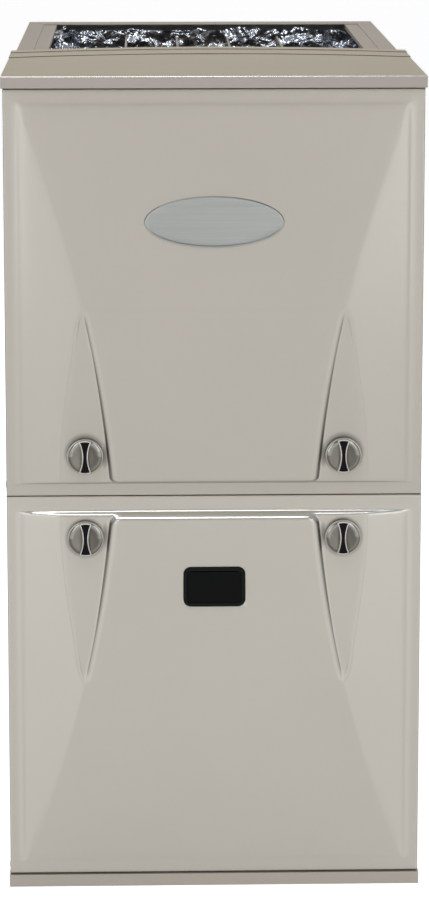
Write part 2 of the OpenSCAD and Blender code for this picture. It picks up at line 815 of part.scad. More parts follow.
module latch_rail() {
  z0 = seam_z - latch_rail_half;
  z1 = seam_z + latch_rail_half;
  color(steel) difference() {
    union() {
      block([-inner_w, latch_rail_y, z0], [inner_w, latch_rail_y + sheet, z1]);
      for (z = [z0, z1 - sheet])
        block([-inner_w, latch_rail_y, z], [inner_w, latch_rail_y + rail_return, z + sheet]);
      for (x = [-inner_w, inner_w - sheet])
        block([x, latch_rail_y, z0], [x + sheet, latch_rail_y + rail_return, z1]);
    }
    screw_shanks();
    // Notches for the edge of the blower deck
    block([-half_w, latch_rail_y + sheet, seam_z], [half_w, latch_rail_y + rail_return + 1, deck_top]);
    for (side = [-1, 1], up = [-1, 1])
      block([side * knob_x - slot_w / 2, latch_rail_y - 1, seam_z + up * knob_off - slot_h / 2],
            [side * knob_x + slot_w / 2, latch_rail_y + 2, seam_z + up * knob_off + slot_h / 2]);
    rod_y([switch_x, latch_rail_y - 1, plunger_z], plunger_d / 2 + 1, sheet + 2);
  }
}

module blower_deck() {
  color(steel) difference() {
    union() {
      block([-inner_w, latch_rail_y + sheet, seam_z], [inner_w, back_y - sheet, deck_top]);
      for (side = [-1, 1])
        block([side > 0 ? inner_w - sheet : -inner_w, latch_rail_y + rail_return + sheet, seam_z - 14],
              [side > 0 ? inner_w : -inner_w + sheet, back_y - sheet, deck_top]);
    }
    block([-housing_w / 2 + 1, outlet_front_y + 1, seam_z - 1],
          [housing_w / 2 - 1, outlet_rear_y - 1, deck_top + 1]);
  }
}

module vestibule_panel() {
  color(steel) difference() {
    block([-inner_w, vestibule_y, deck_top], [inner_w, vestibule_y + sheet, cabinet_h - sheet]);
    for (i = [-1.5:1:1.5]) rod_y([i * cell_pitch, vestibule_y - 1, burner_z], burner_d / 2 + 1, 3);
    block([-coil_w / 2 + 30, vestibule_y - 1, coil_z0 + 12],
          [coil_w / 2 - 30, vestibule_y + 2, coil_z0 + coil_h - 12]);
  }
}

// ---- insulation ----

module side_pad(side) {
  color(foil) block(
    [side > 0 ? inner_w - insulation_t : -inner_w, cell_y0, deck_top],
    [side > 0 ? inner_w : -inner_w + insulation_t, back_y - sheet, pad_top]);
}

module insulation_left() { side_pad(-1); }
module insulation_right() { side_pad(1); }

module insulation_back() {
  color(foil) block([-inner_w + insulation_t, back_y - sheet - insulation_t, deck_top],
                    [inner_w - insulation_t, back_y - sheet, pad_top]);
}

// ---- heat exchanger ----

// Cross section of one pass: [middle height, half height, half width], shrunk by inset
function pass_outline(p, shoulder, inset) =
  let (e = seam_t / 2 - inset * 0.7, h = p[1] - inset * 1.6, w = p[2] - inset) [
    [e, p[0] + h], [w, p[0] + p[1] - shoulder - inset * 0.4],
    [w, p[0] - p[1] + shoulder + inset * 0.4], [e, p[0] - h],
    [-e, p[0] - h], [-w, p[0] - p[1] + shoulder + inset * 0.4],
    [-w, p[0] + p[1] - shoulder - inset * 0.4], [-e, p[0] + h]
  ];

// Straight pass between two depths
module pass(p, shoulder, y0, y1, inset) {
  translate([0, y1, 0]) rotate([90, 0, 0]) linear_extrude(y1 - y0)
    polygon(pass_outline(p, shoulder, inset));
}

// Half turn that joins two passes at y, opening towards dir
module pass_turn(upper, lower, y, dir, inset) {
  mid = (upper[0] + lower[0]) / 2;
  r = (upper[0] - lower[0]) / 2;
  h = min(lower[1], r - 2) - inset * 1.6;
  w = lower[2] - inset;
  e = seam_t / 2 - inset * 0.7;
  translate([0, y, mid]) rotate([0, 90, 0]) rotate([0, 0, dir > 0 ? 0 : 180])
    rotate_extrude(angle = 180, $fn = 72) polygon([
      [r - h, -e], [r - h * 0.4, -w], [r + h * 0.4, -w], [r + h, -e],
      [r + h, e], [r + h * 0.4, w], [r - h * 0.4, w], [r - h, e]
    ]);
}

// The three passes and two turns of a cell; inset draws the space inside them
module cell_passes(inset = 0) {
  y1 = cell_y0 + cell_l;
  turn = 74;
  lap = inset > 0 ? 0.5 : 0;
  pass(pass_1, cell_shoulder, cell_y0 + inset, y1 - turn + lap, inset);
  pass(pass_2, 10, cell_y0 + turn - lap, y1 - turn + lap, inset);
  pass(pass_3, 9, cell_y0 + turn - lap, y1 + (inset > 0 ? 1 : 0), inset);
  pass_turn(pass_1, pass_2, y1 - turn, 1, inset);
  pass_turn(pass_2, pass_3, cell_y0 + turn, -1, inset);
}

// One clamshell cell: a pressed seam sheet swollen into three passes and two turns
module heat_exchanger_cell(index) {
  y1 = cell_y0 + cell_l;
  color("#8a8174") translate([(index - 2.5) * cell_pitch, 0, 0]) difference() {
    union() {
      block([-seam_t / 2, cell_y0, seam_bottom], [seam_t / 2, y1, cell_top]);
      cell_passes();
    }
    cell_passes(seam_t / 2);
    rod_y([0, cell_y0 - 1, burner_z], burner_d / 2, seam_t + 2);
  }
}

module heat_exchanger_cell_1() { heat_exchanger_cell(1); }
module heat_exchanger_cell_2() { heat_exchanger_cell(2); }
module heat_exchanger_cell_3() { heat_exchanger_cell(3); }
module heat_exchanger_cell_4() { heat_exchanger_cell(4); }

// Box behind the cells that turns the gas down into the secondary coil
module coupling_box() {
  y0 = cell_y0 + cell_l;
  wall = 1.2;
  z1 = pass_3[0] + pass_3[1] + 12;
  color(steel) difference() {
    block([-coil_w / 2, y0, coil_z0], [coil_w / 2, y0 + coupling_l, z1]);
    block([-coil_w / 2 + wall, y0 + wall, coil_z0 + wall],
          [coil_w / 2 - wall, y0 + coupling_l - wall, z1 - wall]);
    for (i = [-1.5:1:1.5])
      block([i * cell_pitch - pass_3[2], y0 - 1, pass_3[0] - pass_3[1] / 2],
            [i * cell_pitch + pass_3[2], y0 + 2, pass_3[0] + pass_3[1] / 2]);
    block([-coil_w / 2 + 20, y0 - 1, coil_z0 + 10], [coil_w / 2 - 20, y0 + 2, coil_z0 + coil_h - 10]);
  }
}

// Rods along the secondary coil, for its tubes and their bores
module coil_rods(r, y0, l) {
  rows = 3;
  columns = 6;
  for (i = [0:1:columns - 1], k = [0:1:rows - 1])
    rod_y([(i - (columns - 1) / 2) * coil_tube_pitch, y0, coil_z0 + coil_h * (k + 0.5) / rows], r, l);
}

// Plate across the coil with its tube holes
module coil_plate(y, t, low, high) {
  difference() {
    block([low[0], y, low[1]], [high[0], y + t, high[1]]);
    coil_rods(coil_tube_d / 2 + running_gap, y - 1, t + 2);
  }
}

// Finned coil between the vestibule panel and the coupling box: tubes, fins pressed
// on them, and two tube sheets that stand on the deck
module secondary_coil() {
  y0 = cell_y0;
  half = coil_w / 2;
  z1 = coil_z0 + coil_h;
  fin_gap = (cell_l - 2 * coil_end) / (coil_fins - 1);
  color("#b9bcbd") {
    for (y = [y0, y0 + cell_l - coil_sheet_t])
      coil_plate(y, coil_sheet_t, [-half, deck_top], [half, z1]);
    for (i = [0:1:coil_fins - 1])
      coil_plate(y0 + coil_end + i * fin_gap - coil_fin_t / 2, coil_fin_t,
                 [-half + coil_inset, coil_z0 + coil_inset], [half - coil_inset, z1 - coil_inset]);
    difference() {
      coil_rods(coil_tube_d / 2, y0, cell_l);
      coil_rods(coil_tube_d / 2 - coil_tube_wall, y0 - 1, cell_l + 2);
    }
  }
}

// ---- vestibule ----

module collector_box() {
  wall = 3;
  color(dark_plastic) difference() {
    union() {
      block([-collector_w / 2, outlet_y - collector_t, collector_z0],
            [collector_w / 2, outlet_y + sheet, collector_z0 + collector_h]);
      block([-collector_w / 2 - 10, outlet_y + sheet - collector_flange_t, collector_z0 - 10],
            [collector_w / 2 + 10, outlet_y + sheet, collector_z0 + collector_h + 10]);
      rod_z([-collector_w / 2 + 18, outlet_y - collector_t / 2, collector_z0 - 12], 7, 14);
    }
    block([-collector_w / 2 + wall, outlet_y - collector_t + wall, collector_z0 + wall],
          [collector_w / 2 - wall, outlet_y + sheet + 1, collector_z0 + collector_h - wall]);
    rod_y([inducer_x, outlet_y - collector_t - 1, inducer_z], inducer_r * 0.42, wall + 2);
  }
}

module burner_box() {
  wall = 1.2;
  z0 = burner_z - burner_box_h / 2;
  z1 = burner_z + burner_box_h / 2;
  y0 = burner_box_y;
  color(steel) difference() {
    union() {
      block([-burner_box_w / 2, y0, z0], [burner_box_w / 2, outlet_y + sheet, z1]);
      block([-burner_box_w / 2 - 8, outlet_y, z0 - 8],
            [burner_box_w / 2 + 8, outlet_y + sheet, z1 - 2]);
    }
    block([-burner_box_w / 2 + wall, y0 + wall, z0 + wall],
          [burner_box_w / 2 - wall, outlet_y + sheet + 1, z1 - wall]);
    for (i = [-1.5:1:1.5]) rod_y([i * cell_pitch, y0 - 1, burner_z], burner_d / 2, wall + 2);
    rod_z([probe_x, probe_y, z1 - wall - 1], igniter_r, wall + 2);
    rod_z([-probe_x, probe_y, z1 - wall - 1], sensor_r, wall + 2);
  }
}

// Four inshot burners, each held by a collar on the front wall of the burner box
module burners() {
  r = burner_d / 2;
  collar = burner_box_y - burner_y;
  color(steel) for (i = [-1.5:1:1.5]) {
    translate([i * cell_pitch, burner_y, burner_z]) rotate([-90, 0, 0])
      rotate_extrude($fn = 72) polygon([
        [r * 0.62, 0], [r * 0.7, 0], [r * 0.52, collar - 14], [r * 0.52, collar - 1.2],
        [r + 5, collar - 1.2], [r + 5, collar], [r * 0.52, collar],
        [r - 0.6, collar + 22], [r - 0.6, burner_l], [r - 1.8, burner_l], [r - 1.8, collar + 22.5],
        [r * 0.44, collar + 0.5], [r * 0.44, collar - 14.5]
      ]);
  }
}

module gas_manifold() {
  r = gas_pipe_d / 2;
  spud = burner_y - manifold_y - r * 0.6;
  x0 = valve_x;
  x1 = 1.5 * cell_pitch + 16;
  leg = burner_z - valve_z - valve_size[2] / 2;
  color("#3a3c3e") {
    difference() {
      union() {
        rod_x([x0 + r, manifold_y, burner_z], r, x1 - x0 - r);
        rod_z([x0, manifold_y, burner_z - leg], r, leg);
        translate([x0, manifold_y, burner_z]) sphere(r = r);
        rod_x([x0, manifold_y, burner_z], r, r + 1);
      }
      rod_z([x0, manifold_y, burner_z - leg - 1], r - gas_pipe_wall, leg);
    }
    rod_x([x1, manifold_y, burner_z], r + 2, 8);
  }
  color("#3a3c3e") for (side = [-1, 1])
    block([side * cell_pitch - 8, manifold_y, burner_z - 1.5],
          [side * cell_pitch + 8, burner_box_y, burner_z + 1.5]);
  color(brass) for (i = [-1.5:1:1.5])
    rod_y([i * cell_pitch, manifold_y + r * 0.6, burner_z], 5, spud + 4);
}

module gas_valve() {
  s = valve_size;
  inlet_r = gas_pipe_d / 2 - 1;
  x0 = valve_x - s[0] / 2 - 12;
  color("#8f9396") difference() {
    union() {
      block([valve_x - s[0] / 2, valve_y - s[1] / 2, valve_z - s[2] / 2],
            [valve_x + s[0] / 2, valve_y + s[1] / 2, valve_z + s[2] / 2]);
      rod_x([x0, valve_y, gas_inlet_z], inlet_r + 6, 14);
      rod_y([valve_x - 8, valve_y - s[1] / 2 - 5, valve_z + 16], 13, 6);
      rod_z([valve_x, valve_y, valve_z + s[2] / 2 - 1], gas_pipe_d / 2 + 0.1, 1);
    }
    rod_x([x0 - 1, valve_y, gas_inlet_z], inlet_r, gas_thread_l + 1);
    rod_y([valve_x + 14, valve_y - s[1] / 2 - 1, valve_z - 14], 5 + running_gap, 9);
  }
}

// On and off knob of the gas valve, a quarter turn
module gas_valve_switch() {
  y = valve_y - valve_size[1] / 2;
  color(dark_plastic) {
    rod_y([valve_x + 14, y - 3, valve_z - 14], 5, 10);
    rod_y([valve_x + 14, y - 7, valve_z - 14], 9, 6);
    block([valve_x + 14 - 1.6, y - 11, valve_z - 14 - 8], [valve_x + 14 + 1.6, y - 6, valve_z - 14 + 8]);
  }
}

module hot_surface_igniter() {
  x = probe_x;
  y = probe_y;
  z = burner_z + burner_box_h / 2;
  color("#e8e2d4") rod_z([x, y, z - 14], igniter_r, 26);
  color(steel) block([x - 11, y - 8, z], [x + 11, y + 8, z + 1.5]);
  color(dark_plastic) rod_z([x, y, z - 34], 2.5, 21);
}

module flame_sensor() {
  x = -probe_x;
  y = probe_y;
  z = burner_z + burner_box_h / 2;
  color("#efece4") rod_z([x, y, z - 10], sensor_r, 22);
  color(steel) block([x - 9, y - 7, z], [x + 9, y + 7, z + 1.5]);
  color(steel) rod_z([x, y, z - 40], 1.6, 31);
}

// ---- inducer ----

module inducer_housing() {
  r = inducer_r;
  half = vent_d / 2 + vent_wall;
  w = inducer_wall;
  inner = r - w;
  color(dark_plastic) translate([inducer_x, inducer_y, inducer_z]) difference() {
    union() {
      rod_y([0, 0, 0], r, inducer_t);
      block([duct_off - half, 0, -20], [duct_off + half, inducer_t, duct_top - w]);
      block([duct_off - half - 2, inducer_t / 2 - half - 2, duct_top - w],
            [duct_off + half + 2, inducer_t / 2 + half + 2, duct_top]);
    }
    rod_y([0, w, 0], inner, inducer_t - 2 * w);
    rod_y([0, w, 0], r * 0.4, inducer_t);
    block([duct_off - half + w, w, -20 + w], [duct_off + half - w, inducer_t - w, duct_top + 1]);
    rod_y([0, -1, 0], inducer_shaft_d / 2 + running_gap, inducer_wall + 2);
  }
}

module inducer_wheel() {
  t = inducer_t - 2 * inducer_wall - 10;
  color(steel) translate([inducer_x, inducer_y, inducer_z]) {
    rod_y([0, inducer_wall + 4, 0], inducer_wheel_r, 1.5);
    rod_y([0, inducer_wall + 4, 0], 9, 14);
    for (i = [0:1:inducer_blades - 1]) rotate([0, 360 * i / inducer_blades, 0])
      block([16, inducer_wall + 5, -0.6], [inducer_wheel_r - 1, inducer_wall + 5 + t, 0.6]);
    rod_y([0, -inducer_motor_l / 2, 0], inducer_shaft_d / 2, inducer_motor_l / 2 + inducer_wall + 6);
  }
}

module inducer_motor() {
  r = inducer_motor_d / 2;
  depth = inducer_motor_l / 2;
  color("#55595c") translate([inducer_x, inducer_y, inducer_z]) difference() {
    union() {
      rod_y([0, -inducer_motor_l, 0], r, inducer_motor_l - 4);
      rod_y([0, -inducer_motor_l - 6, 0], 14, 8);
      for (a = [30:120:270]) rotate([0, a, 0]) {
        block([r - 4, -10, -6], [r + 12, -7, 6]);
        rod_y([r + 7, -10, 0], 5, 10);
      }
    }
    rod_y([0, -depth - 4, 0], inducer_shaft_d / 2 + running_gap, depth + 5);
    for (a = [0:15:345]) rotate([0, a, 0])
      block([r - 3, -inducer_motor_l + 8, -1], [r + 1, -16, 1]);
  }
}

// Straight length of pipe, open at both ends, standing on the X-Y plane
module pipe(l, inner, outer) {
  linear_extrude(l) difference() {
    circle(d = outer);
    circle(d = inner);
  }
}

// Vent from the inducer up and out to a pipe socket in the right side: a straight
// pipe, an elbow and a socket pipe, joined end to end
module vent_elbow() {
  duct_x = inducer_x + duct_off;
  z0 = inducer_z + duct_top;
  outer = vent_d + 2 * vent_wall;
  socket_outer = 2 * vent_socket_r + 2 * vent_wall;
  socket_x = half_w - sheet - vent_socket_l;
  step = 3;
  start_x = duct_x + vent_bend + seam_clear;
  color("#d9d8d2") {
    translate([duct_x, vent_y, z0]) pipe(vent_z - vent_bend - seam_clear - z0, vent_d, outer);
    translate([duct_x + vent_bend, vent_y, vent_z - vent_bend]) rotate([90, 0, 0])
      rotate_extrude(angle = 90, start = 90, $fn = 72) translate([vent_bend, 0]) difference() {
        circle(d = outer);
        circle(d = vent_d);
      }
    translate([start_x, vent_y, vent_z]) rotate([0, 90, 0]) pipe(socket_x - step - start_x, vent_d, outer);
    translate([socket_x - step, vent_y, vent_z]) rotate([0, 90, 0]) pipe(step, vent_d, socket_outer);
    translate([socket_x, vent_y, vent_z]) rotate([0, 90, 0])
      pipe(vent_socket_l, 2 * vent_socket_r, socket_outer);
  }
}

module pressure_switch() {
  r = 30;
  color(dark_plastic) {
    rod_y([switch_cx, switch_cy - 14, switch_cz], r, 22);
    rod_y([switch_cx, switch_cy - 22, switch_cz], 18, 9);
    rod_z([switch_cx, switch_cy - 4, switch_cz - r - 10], 3, 12);
  }
  color(steel) block([switch_cx - 34, switch_cy + 8, switch_cz - 34],
                     [switch_cx + 34, outlet_y + sheet, switch_cz - 30]);
  color(steel) block([switch_cx - 34, switch_cy + 8, switch_cz - 34],
                     [switch_cx + 34, switch_cy + 9.5, switch_cz + 34]);
}

// Hose from the pressure switch down and across to the collector box
module pressure_hose() {
  r = hose_d / 2;
  bend = 16;
  y = switch_cy - 4;
  z1 = switch_cz - 32;
  z0 = collector_z0 + collector_h - 24;
  x1 = -collector_w / 2;
  color(black) difference() {
    union() {
      rod_z([switch_cx, y, z0 + bend], r, z1 - z0 - bend);
      translate([switch_cx + bend, y, z0 + bend]) rotate([90, 0, 0])
        rotate_extrude(angle = 90, start = 180, $fn = 48) translate([bend, 0]) circle(r = r);
      rod_x([switch_cx + bend, y, z0], r, x1 - switch_cx - bend);
    }
    rod_z([switch_cx, y, z1 - 8], 3, 9);
  }
}

module condensate_trap() {
  s = trap_size;
  x1 = trap_x + s[0];
  color("#3b3f45") difference() {
    union() {
      block([trap_x, drain_y - s[1] / 2, deck_top], [x1, drain_y + s[1] / 2, deck_top + s[2]]);
      rod_x([trap_x - 4, drain_y, drain_z], 9, 6);
      rod_z([trap_x + s[0] / 2, drain_y, deck_top + s[2] - 1], 7, trap_port_h + 1);
    }
    rod_z([trap_x + s[0] / 2, drain_y, deck_top + s[2] - 20], 4, trap_port_h + 21);
  }
}

// Drain hose from the top of the trap to the flange of the collector box
module drain_hose() {
  r = 10;
  bend = 22;
  rise = 8;
  x0 = trap_x + trap_size[0] / 2;
  x1 = -collector_w / 2 - r - 0.5;
  y = drain_y;
  y1 = outlet_y + sheet - collector_flange_t;
  z0 = deck_top + trap_size[2] + trap_port_h;
  z1 = z0 + rise + bend;
  color(black) {
    rod_z([x0, y, z0], r, rise);
    translate([x0 + bend, y, z0 + rise]) rotate([90, 0, 0])
      rotate_extrude(angle = 90, start = 90, $fn = 48) translate([bend, 0]) circle(r = r);
    rod_x([x0 + bend, y, z1], r, x1 - x0 - 2 * bend);
    translate([x1 - bend, y + bend, z1])
      rotate_extrude(angle = 90, start = -90, $fn = 48) translate([bend, 0]) circle(r = r);
    rod_y([x1, y + bend, z1], r, y1 - y - bend);
  }
}

module junction_box() {
  s = [60, 60, 90];
  x1 = inner_w;
  color(steel) difference() {
    block([x1 - s[0], junction_y - s[1] / 2, junction_z - s[2] / 2],
          [x1, junction_y + s[1] / 2, junction_z + s[2] / 2]);
    block([x1 - s[0] + 1.2, junction_y - s[1] / 2 + 1.2, junction_z - s[2] / 2 + 1.2],
          [x1 - 1.2, junction_y + s[1] / 2 - 1.2, junction_z + s[2] / 2 - 1.2]);
    rod_x([x1 - 3, junction_y, junction_z], conduit_d / 2, 5);
  }
}

// ---- blower ----

// Radius of the scroll after turning by a from its cutoff
function scroll_r(a, inset) = scroll_r0 + (scroll_r1 - scroll_r0) * a / scroll_turn - inset;

// Scroll outline in the Y-Z plane: cutoff, round the rear and bottom, then up the front
function scroll_outline(inset, top) = concat(
  [[scroll_r0 * cos(scroll_start) - inset, top]],
  [for (i = [0:1:25]) let (a = scroll_turn * i / 25)
    scroll_r(a, inset) * [cos(scroll_start - a), sin(scroll_start - a)]],
  [[-scroll_r1 + inset, top]]
);

// Extrude an outline drawn in Y and Z along X, centred
module along_x(l) {
  rotate([90, 0, 90]) translate([0, 0, -l / 2]) linear_extrude(l) children();
}

// Scroll wrap, with a side plate drawn in to a flared inlet at each end
module blower_housing() {
  wall = 1.2;
  top = seam_z - blower_z;
  color(steel) translate([0, blower_y, blower_z]) {
    along_x(housing_w - 2 * wall - 2 * seam_clear) difference() {
      polygon(scroll_outline(0, top));
      polygon(scroll_outline(wall, top + 1));
    }
    for (side = [-1, 1]) {
      difference() {
        translate([side * (housing_w - wall) / 2, 0, 0]) along_x(wall) polygon(scroll_outline(0, top));
        rod_x([-housing_w, 0, 0], inlet_r, 2 * housing_w);
      }
      translate([side * housing_w / 2, 0, 0]) rotate([0, side * 90, 0])
        rotate_extrude($fn = 96) polygon([
          [inlet_r + 6, 0], [inlet_r + 6, wall], [inlet_r - 1.6, wall],
          [inlet_r - 5, -6], [inlet_r - 3.8, -6], [inlet_r - 0.4, 0]
        ]);
    }
  }
}

// Section of one forward curved blade between the two ring radii
function blade_outline() =
  let (r0 = wheel_r - blade_depth + 0.5, r1 = wheel_r - 0.5, steps = 5)
  let (point = function(s, t) let (r = r0 + (r1 - r0) * s, a = 9 * s * s + t) [r * cos(a), r * sin(a)])
  let (thick = blade_t / wheel_r * 57.3)
  concat([for (i = [0:1:steps]) point(i / steps, 0)], [for (i = [steps:-1:0]) point(i / steps, thick)]);

// Wheel with two inlets: blades between two end rings, and a disc on its hub
module blower_wheel() {
  ring = 2;
  hub_r = 17;
  hub_l = 34;
  disc_t = 1.6;
  bore_r = blower_shaft_d / 2;
  blade_l = wheel_w - 2 * ring - 2 * seam_clear;
  color("#7f8487") translate([0, blower_y, blower_z]) {
    for (i = [0:1:blade_count - 1])
      rotate([360 * i / blade_count, 0, 0]) along_x(blade_l) polygon(blade_outline());
    for (x = [-wheel_w / 2, wheel_w / 2 - ring]) translate([x, 0, 0]) rotate([0, 90, 0])
      pipe(ring, 2 * (wheel_r - blade_depth), 2 * wheel_r);
    translate([-disc_t, 0, 0]) rotate([0, 90, 0])
      pipe(disc_t, 2 * bore_r, 2 * (wheel_r - blade_depth + 0.5 - seam_clear));
    translate([seam_clear, 0, 0]) rotate([0, 90, 0]) pipe(hub_l, 2 * bore_r, 2 * hub_r);
  }
}

module blower_shaft() {
  x0 = motor_x1 - 60;
  color("#c7c9ca") rod_x([x0, blower_y, blower_z], blower_shaft_d / 2, 40 - x0);
}

module blower_motor() {
  r = blower_motor_d / 2;
  color("#4a4d50") difference() {
    translate([motor_x0, blower_y, blower_z]) rotate([0, 90, 0]) rotate_extrude($fn = 96)
      polygon([
        [0, 0], [r - 12, 0], [r, 10], [r, blower_motor_l - 16], [r - 14, blower_motor_l - 6],
        [20, blower_motor_l - 6], [18, blower_motor_l], [0, blower_motor_l]
      ]);
    rod_x([motor_x1 - 64, blower_y, blower_z], blower_shaft_d / 2 + running_gap, 70);
  }
}

// Band round the motor with three arms to the blower housing
module motor_mount() {
  r = blower_motor_d / 2;
  band_t = 2;
  band_w = 26;
  arm_t = 3;
  x = -housing_w / 2;
  color(steel) translate([0, blower_y, blower_z]) difference() {
    union() {
      rod_x([x - 3 - band_w, 0, 0], r + band_t, band_w);
      for (a = [90:120:330]) rotate([a, 0, 0])
        block([x - 2 - arm_t, -9, r + 1], [x - 2, 9, inlet_r + 16]);
      for (a = [90:120:330]) rotate([a, 0, 0])
        block([x - 2 - arm_t, -9, inlet_r + 7], [x, 9, inlet_r + 16]);
    }
    rod_x([x - 60, 0, 0], r, 70);
  }
}

// ---- controls ----

module control_box() {
  half = control_w / 2;
  depth = 30;
  color(steel) difference() {
    block([-half, control_y - depth, control_z0], [half, control_y, control_z1]);
    block([-half + 1.2, control_y - depth - 1, control_z0 + 1.2],
          [half - 1.2, control_y - 1.2, control_z1 - 1.2]);
  }
}

module control_board() {
  w = control_w * 0.62;
  z0 = control_z0 + 16;
  h = 132;
  y = control_y - 1.2;
  x0 = -control_w / 2 + 12;
  board_y = y - 9;
  color("#2f6b46") block([x0, board_y, z0], [x0 + w, board_y + 1.6, z0 + h]);
  color("#2f6b46") for (x = [x0 + 6, x0 + w - 6], z = [z0 + 6, z0 + h - 6])
    rod_y([x, board_y + 1, z], 3, y - board_y - 1);
  // Relays, capacitor, plug rows and fuse holder
  color("#d8d6cf") for (i = [0:1:2])
    block([x0 + 14 + i * 30, board_y - 14, z0 + 84], [x0 + 36 + i * 30, board_y + 0.5, z0 + 110]);
  color(black) rod_y([x0 + 28, board_y - 18, z0 + 52], 11, 18.5);
  color(black) rod_y([x0 + 58, board_y - 14, z0 + 50], 8, 14.5);
  color("#e2ddd0") block([x0 + 12, board_y - 9, z0 + 10], [x0 + w - 30, board_y + 0.5, z0 + 22]);
  color("#a33") block([x0 + w - 24, board_y - 8, z0 + 14], [x0 + w - 14, board_y + 0.5, z0 + 34]);
}

module transformer() {
  x = control_w / 2 - 36;
  z = control_z0 + 62;
  y = control_y - 1.2;
  color("#6b6e70") {
    block([x - 22, y - 22, z - 26], [x + 22, y - 3, z + 26]);
    block([x - 14, y - 26, z - 18], [x + 14, y, z + 18]);
    block([x - 30, y - 1.5, z - 26], [x + 30, y, z + 26]);
  }
}

module door_switch() {
  y0 = latch_rail_y + sheet;
  z = plunger_z;
  color(black) difference() {
    block([switch_x - 12, y0, z - 14], [switch_x + 12, y0 + 26, seam_z - 1]);
    rod_y([switch_x, y0 - 1, z], plunger_d / 2 + running_gap, plunger_in + switch_travel + 5);
  }
}

module door_switch_plunger() {
  y0 = front_y - pan_gap + plunger_gap;
  y1 = latch_rail_y + sheet + plunger_in;
  color("#e9e6df") {
    rod_y([switch_x, y0, plunger_z], plunger_d / 2, y1 - y0);
  }
}

// ---- filter and screws ----

module air_filter() {
  y0 = filter_y0;
  y1 = filter_y0 + filter_l;
  edge = 12;
  pleat = (filter_l - 2 * edge) / filter_pleats;
  low = 3;
  high = filter_t - 3;
  thick = 1.6;
  zig = function(z) [for (i = [0:1:2 * filter_pleats])
    [y0 + edge + i * pleat / 2, z + (i % 2 == 0 ? low : high - thick)]];
  bottom = zig(0);
  top = zig(thick);
  translate([0, 0, filter_z]) {
    color("#e8e4da") difference() {
      block([-filter_w / 2, y0, 0], [filter_w / 2, y1, filter_t]);
      block([-filter_w / 2 + edge, y0 + edge, -1], [filter_w / 2 - edge, y1 - edge, filter_t + 1]);
    }
    color("#dfe3e6") along_x(filter_w - 2 * edge + 1) polygon(concat(
      bottom, [for (i = [len(top) - 1:-1:0]) top[i]]));
  }
}

// Shanks of the side screws, which also cut their holes
module screw_shanks() {
  for (s = screw_spots)
    translate([s[0] * half_w, screw_y, s[1]]) rotate([0, s[0] * 90, 0])
      translate([0, 0, -7]) cylinder(r = screw_r, h = 7 + overlap);
}

// Hex head screws in the sides, into the base pan and the latch rail
module casing_screws() {
  color(steel) {
    for (s = screw_spots)
      translate([s[0] * half_w, screw_y, s[1]]) rotate([0, s[0] * 90, 0])
        cylinder(r = 3.6, h = screw_head_t, $fn = 6);
    screw_shanks();
  }
}

casing_wrapper();
base_pan();
top_front_panel();
outlet_front_flange();
outlet_rail_left();
outlet_rail_right();
latch_rail();
blower_deck();
vestibule_panel();
insulation_left();
insulation_right();
insulation_back();
heat_exchanger_cell_1();
heat_exchanger_cell_2();
heat_exchanger_cell_3();
heat_exchanger_cell_4();
coupling_box();
secondary_coil();
collector_box();
burner_box();
burners();
gas_manifold();
gas_valve();
gas_valve_switch();
hot_surface_igniter();
flame_sensor();
inducer_housing();
inducer_wheel();
inducer_motor();
vent_elbow();
pressure_switch();
pressure_hose();
condensate_trap();
drain_hose();
blower_housing();
blower_wheel();
blower_shaft();
blower_motor();
motor_mount();
control_box();
control_board();
transformer();
door_switch();
door_switch_plunger();
junction_box();
air_filter();
casing_screws();
upper_door();
badge_plate();
lower_door();
window_frame();
sight_window();
knob_upper_left();
knob_upper_right();
knob_lower_left();
knob_lower_right();
inlay_upper_left();
inlay_upper_right();
inlay_lower_left();
inlay_lower_right();
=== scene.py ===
# %% [markdown]
# # A forced air gas furnace, dressed for its photograph
#
# This lesson dresses a finished CAD model of an upright gas furnace. The CAD gives every part its place and
# its real size. Blender adds what the eye reads first: rounded folds in sheet metal, pearly paint, crumpled
# foil, a brushed plate and four turn knobs.
#
# The work goes in small cells. A text cell says what a piece is on the real furnace and how it is made here,
# and the code cell after it makes the piece and prints what came out.

import math

import bmesh
import bpy
import numpy as np
from mathutils import Matrix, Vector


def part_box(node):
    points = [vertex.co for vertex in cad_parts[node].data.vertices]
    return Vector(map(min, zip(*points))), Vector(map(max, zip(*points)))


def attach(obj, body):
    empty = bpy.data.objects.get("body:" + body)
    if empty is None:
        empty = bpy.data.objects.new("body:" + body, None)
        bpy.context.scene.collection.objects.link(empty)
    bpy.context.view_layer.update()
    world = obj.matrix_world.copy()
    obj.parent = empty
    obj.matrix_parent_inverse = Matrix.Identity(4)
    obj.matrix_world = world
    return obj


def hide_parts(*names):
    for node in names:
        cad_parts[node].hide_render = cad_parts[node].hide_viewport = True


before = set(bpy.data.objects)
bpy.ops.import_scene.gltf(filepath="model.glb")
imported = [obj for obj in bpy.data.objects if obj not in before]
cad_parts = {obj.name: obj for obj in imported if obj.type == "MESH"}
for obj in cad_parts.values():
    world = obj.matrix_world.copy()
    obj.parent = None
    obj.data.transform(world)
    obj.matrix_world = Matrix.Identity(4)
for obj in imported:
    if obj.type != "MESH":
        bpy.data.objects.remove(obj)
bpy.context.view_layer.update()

# %% [markdown]
# ## Sizes that the new surfaces share with the CAD
#
# Every new surface has to land exactly where the CAD part is. The planes below repeat the CAD's own values,
# in metres. `mm` keeps the numbers readable, because a workshop drawing of a furnace is in millimetres.

# %% Named sizes
mm = 0.001

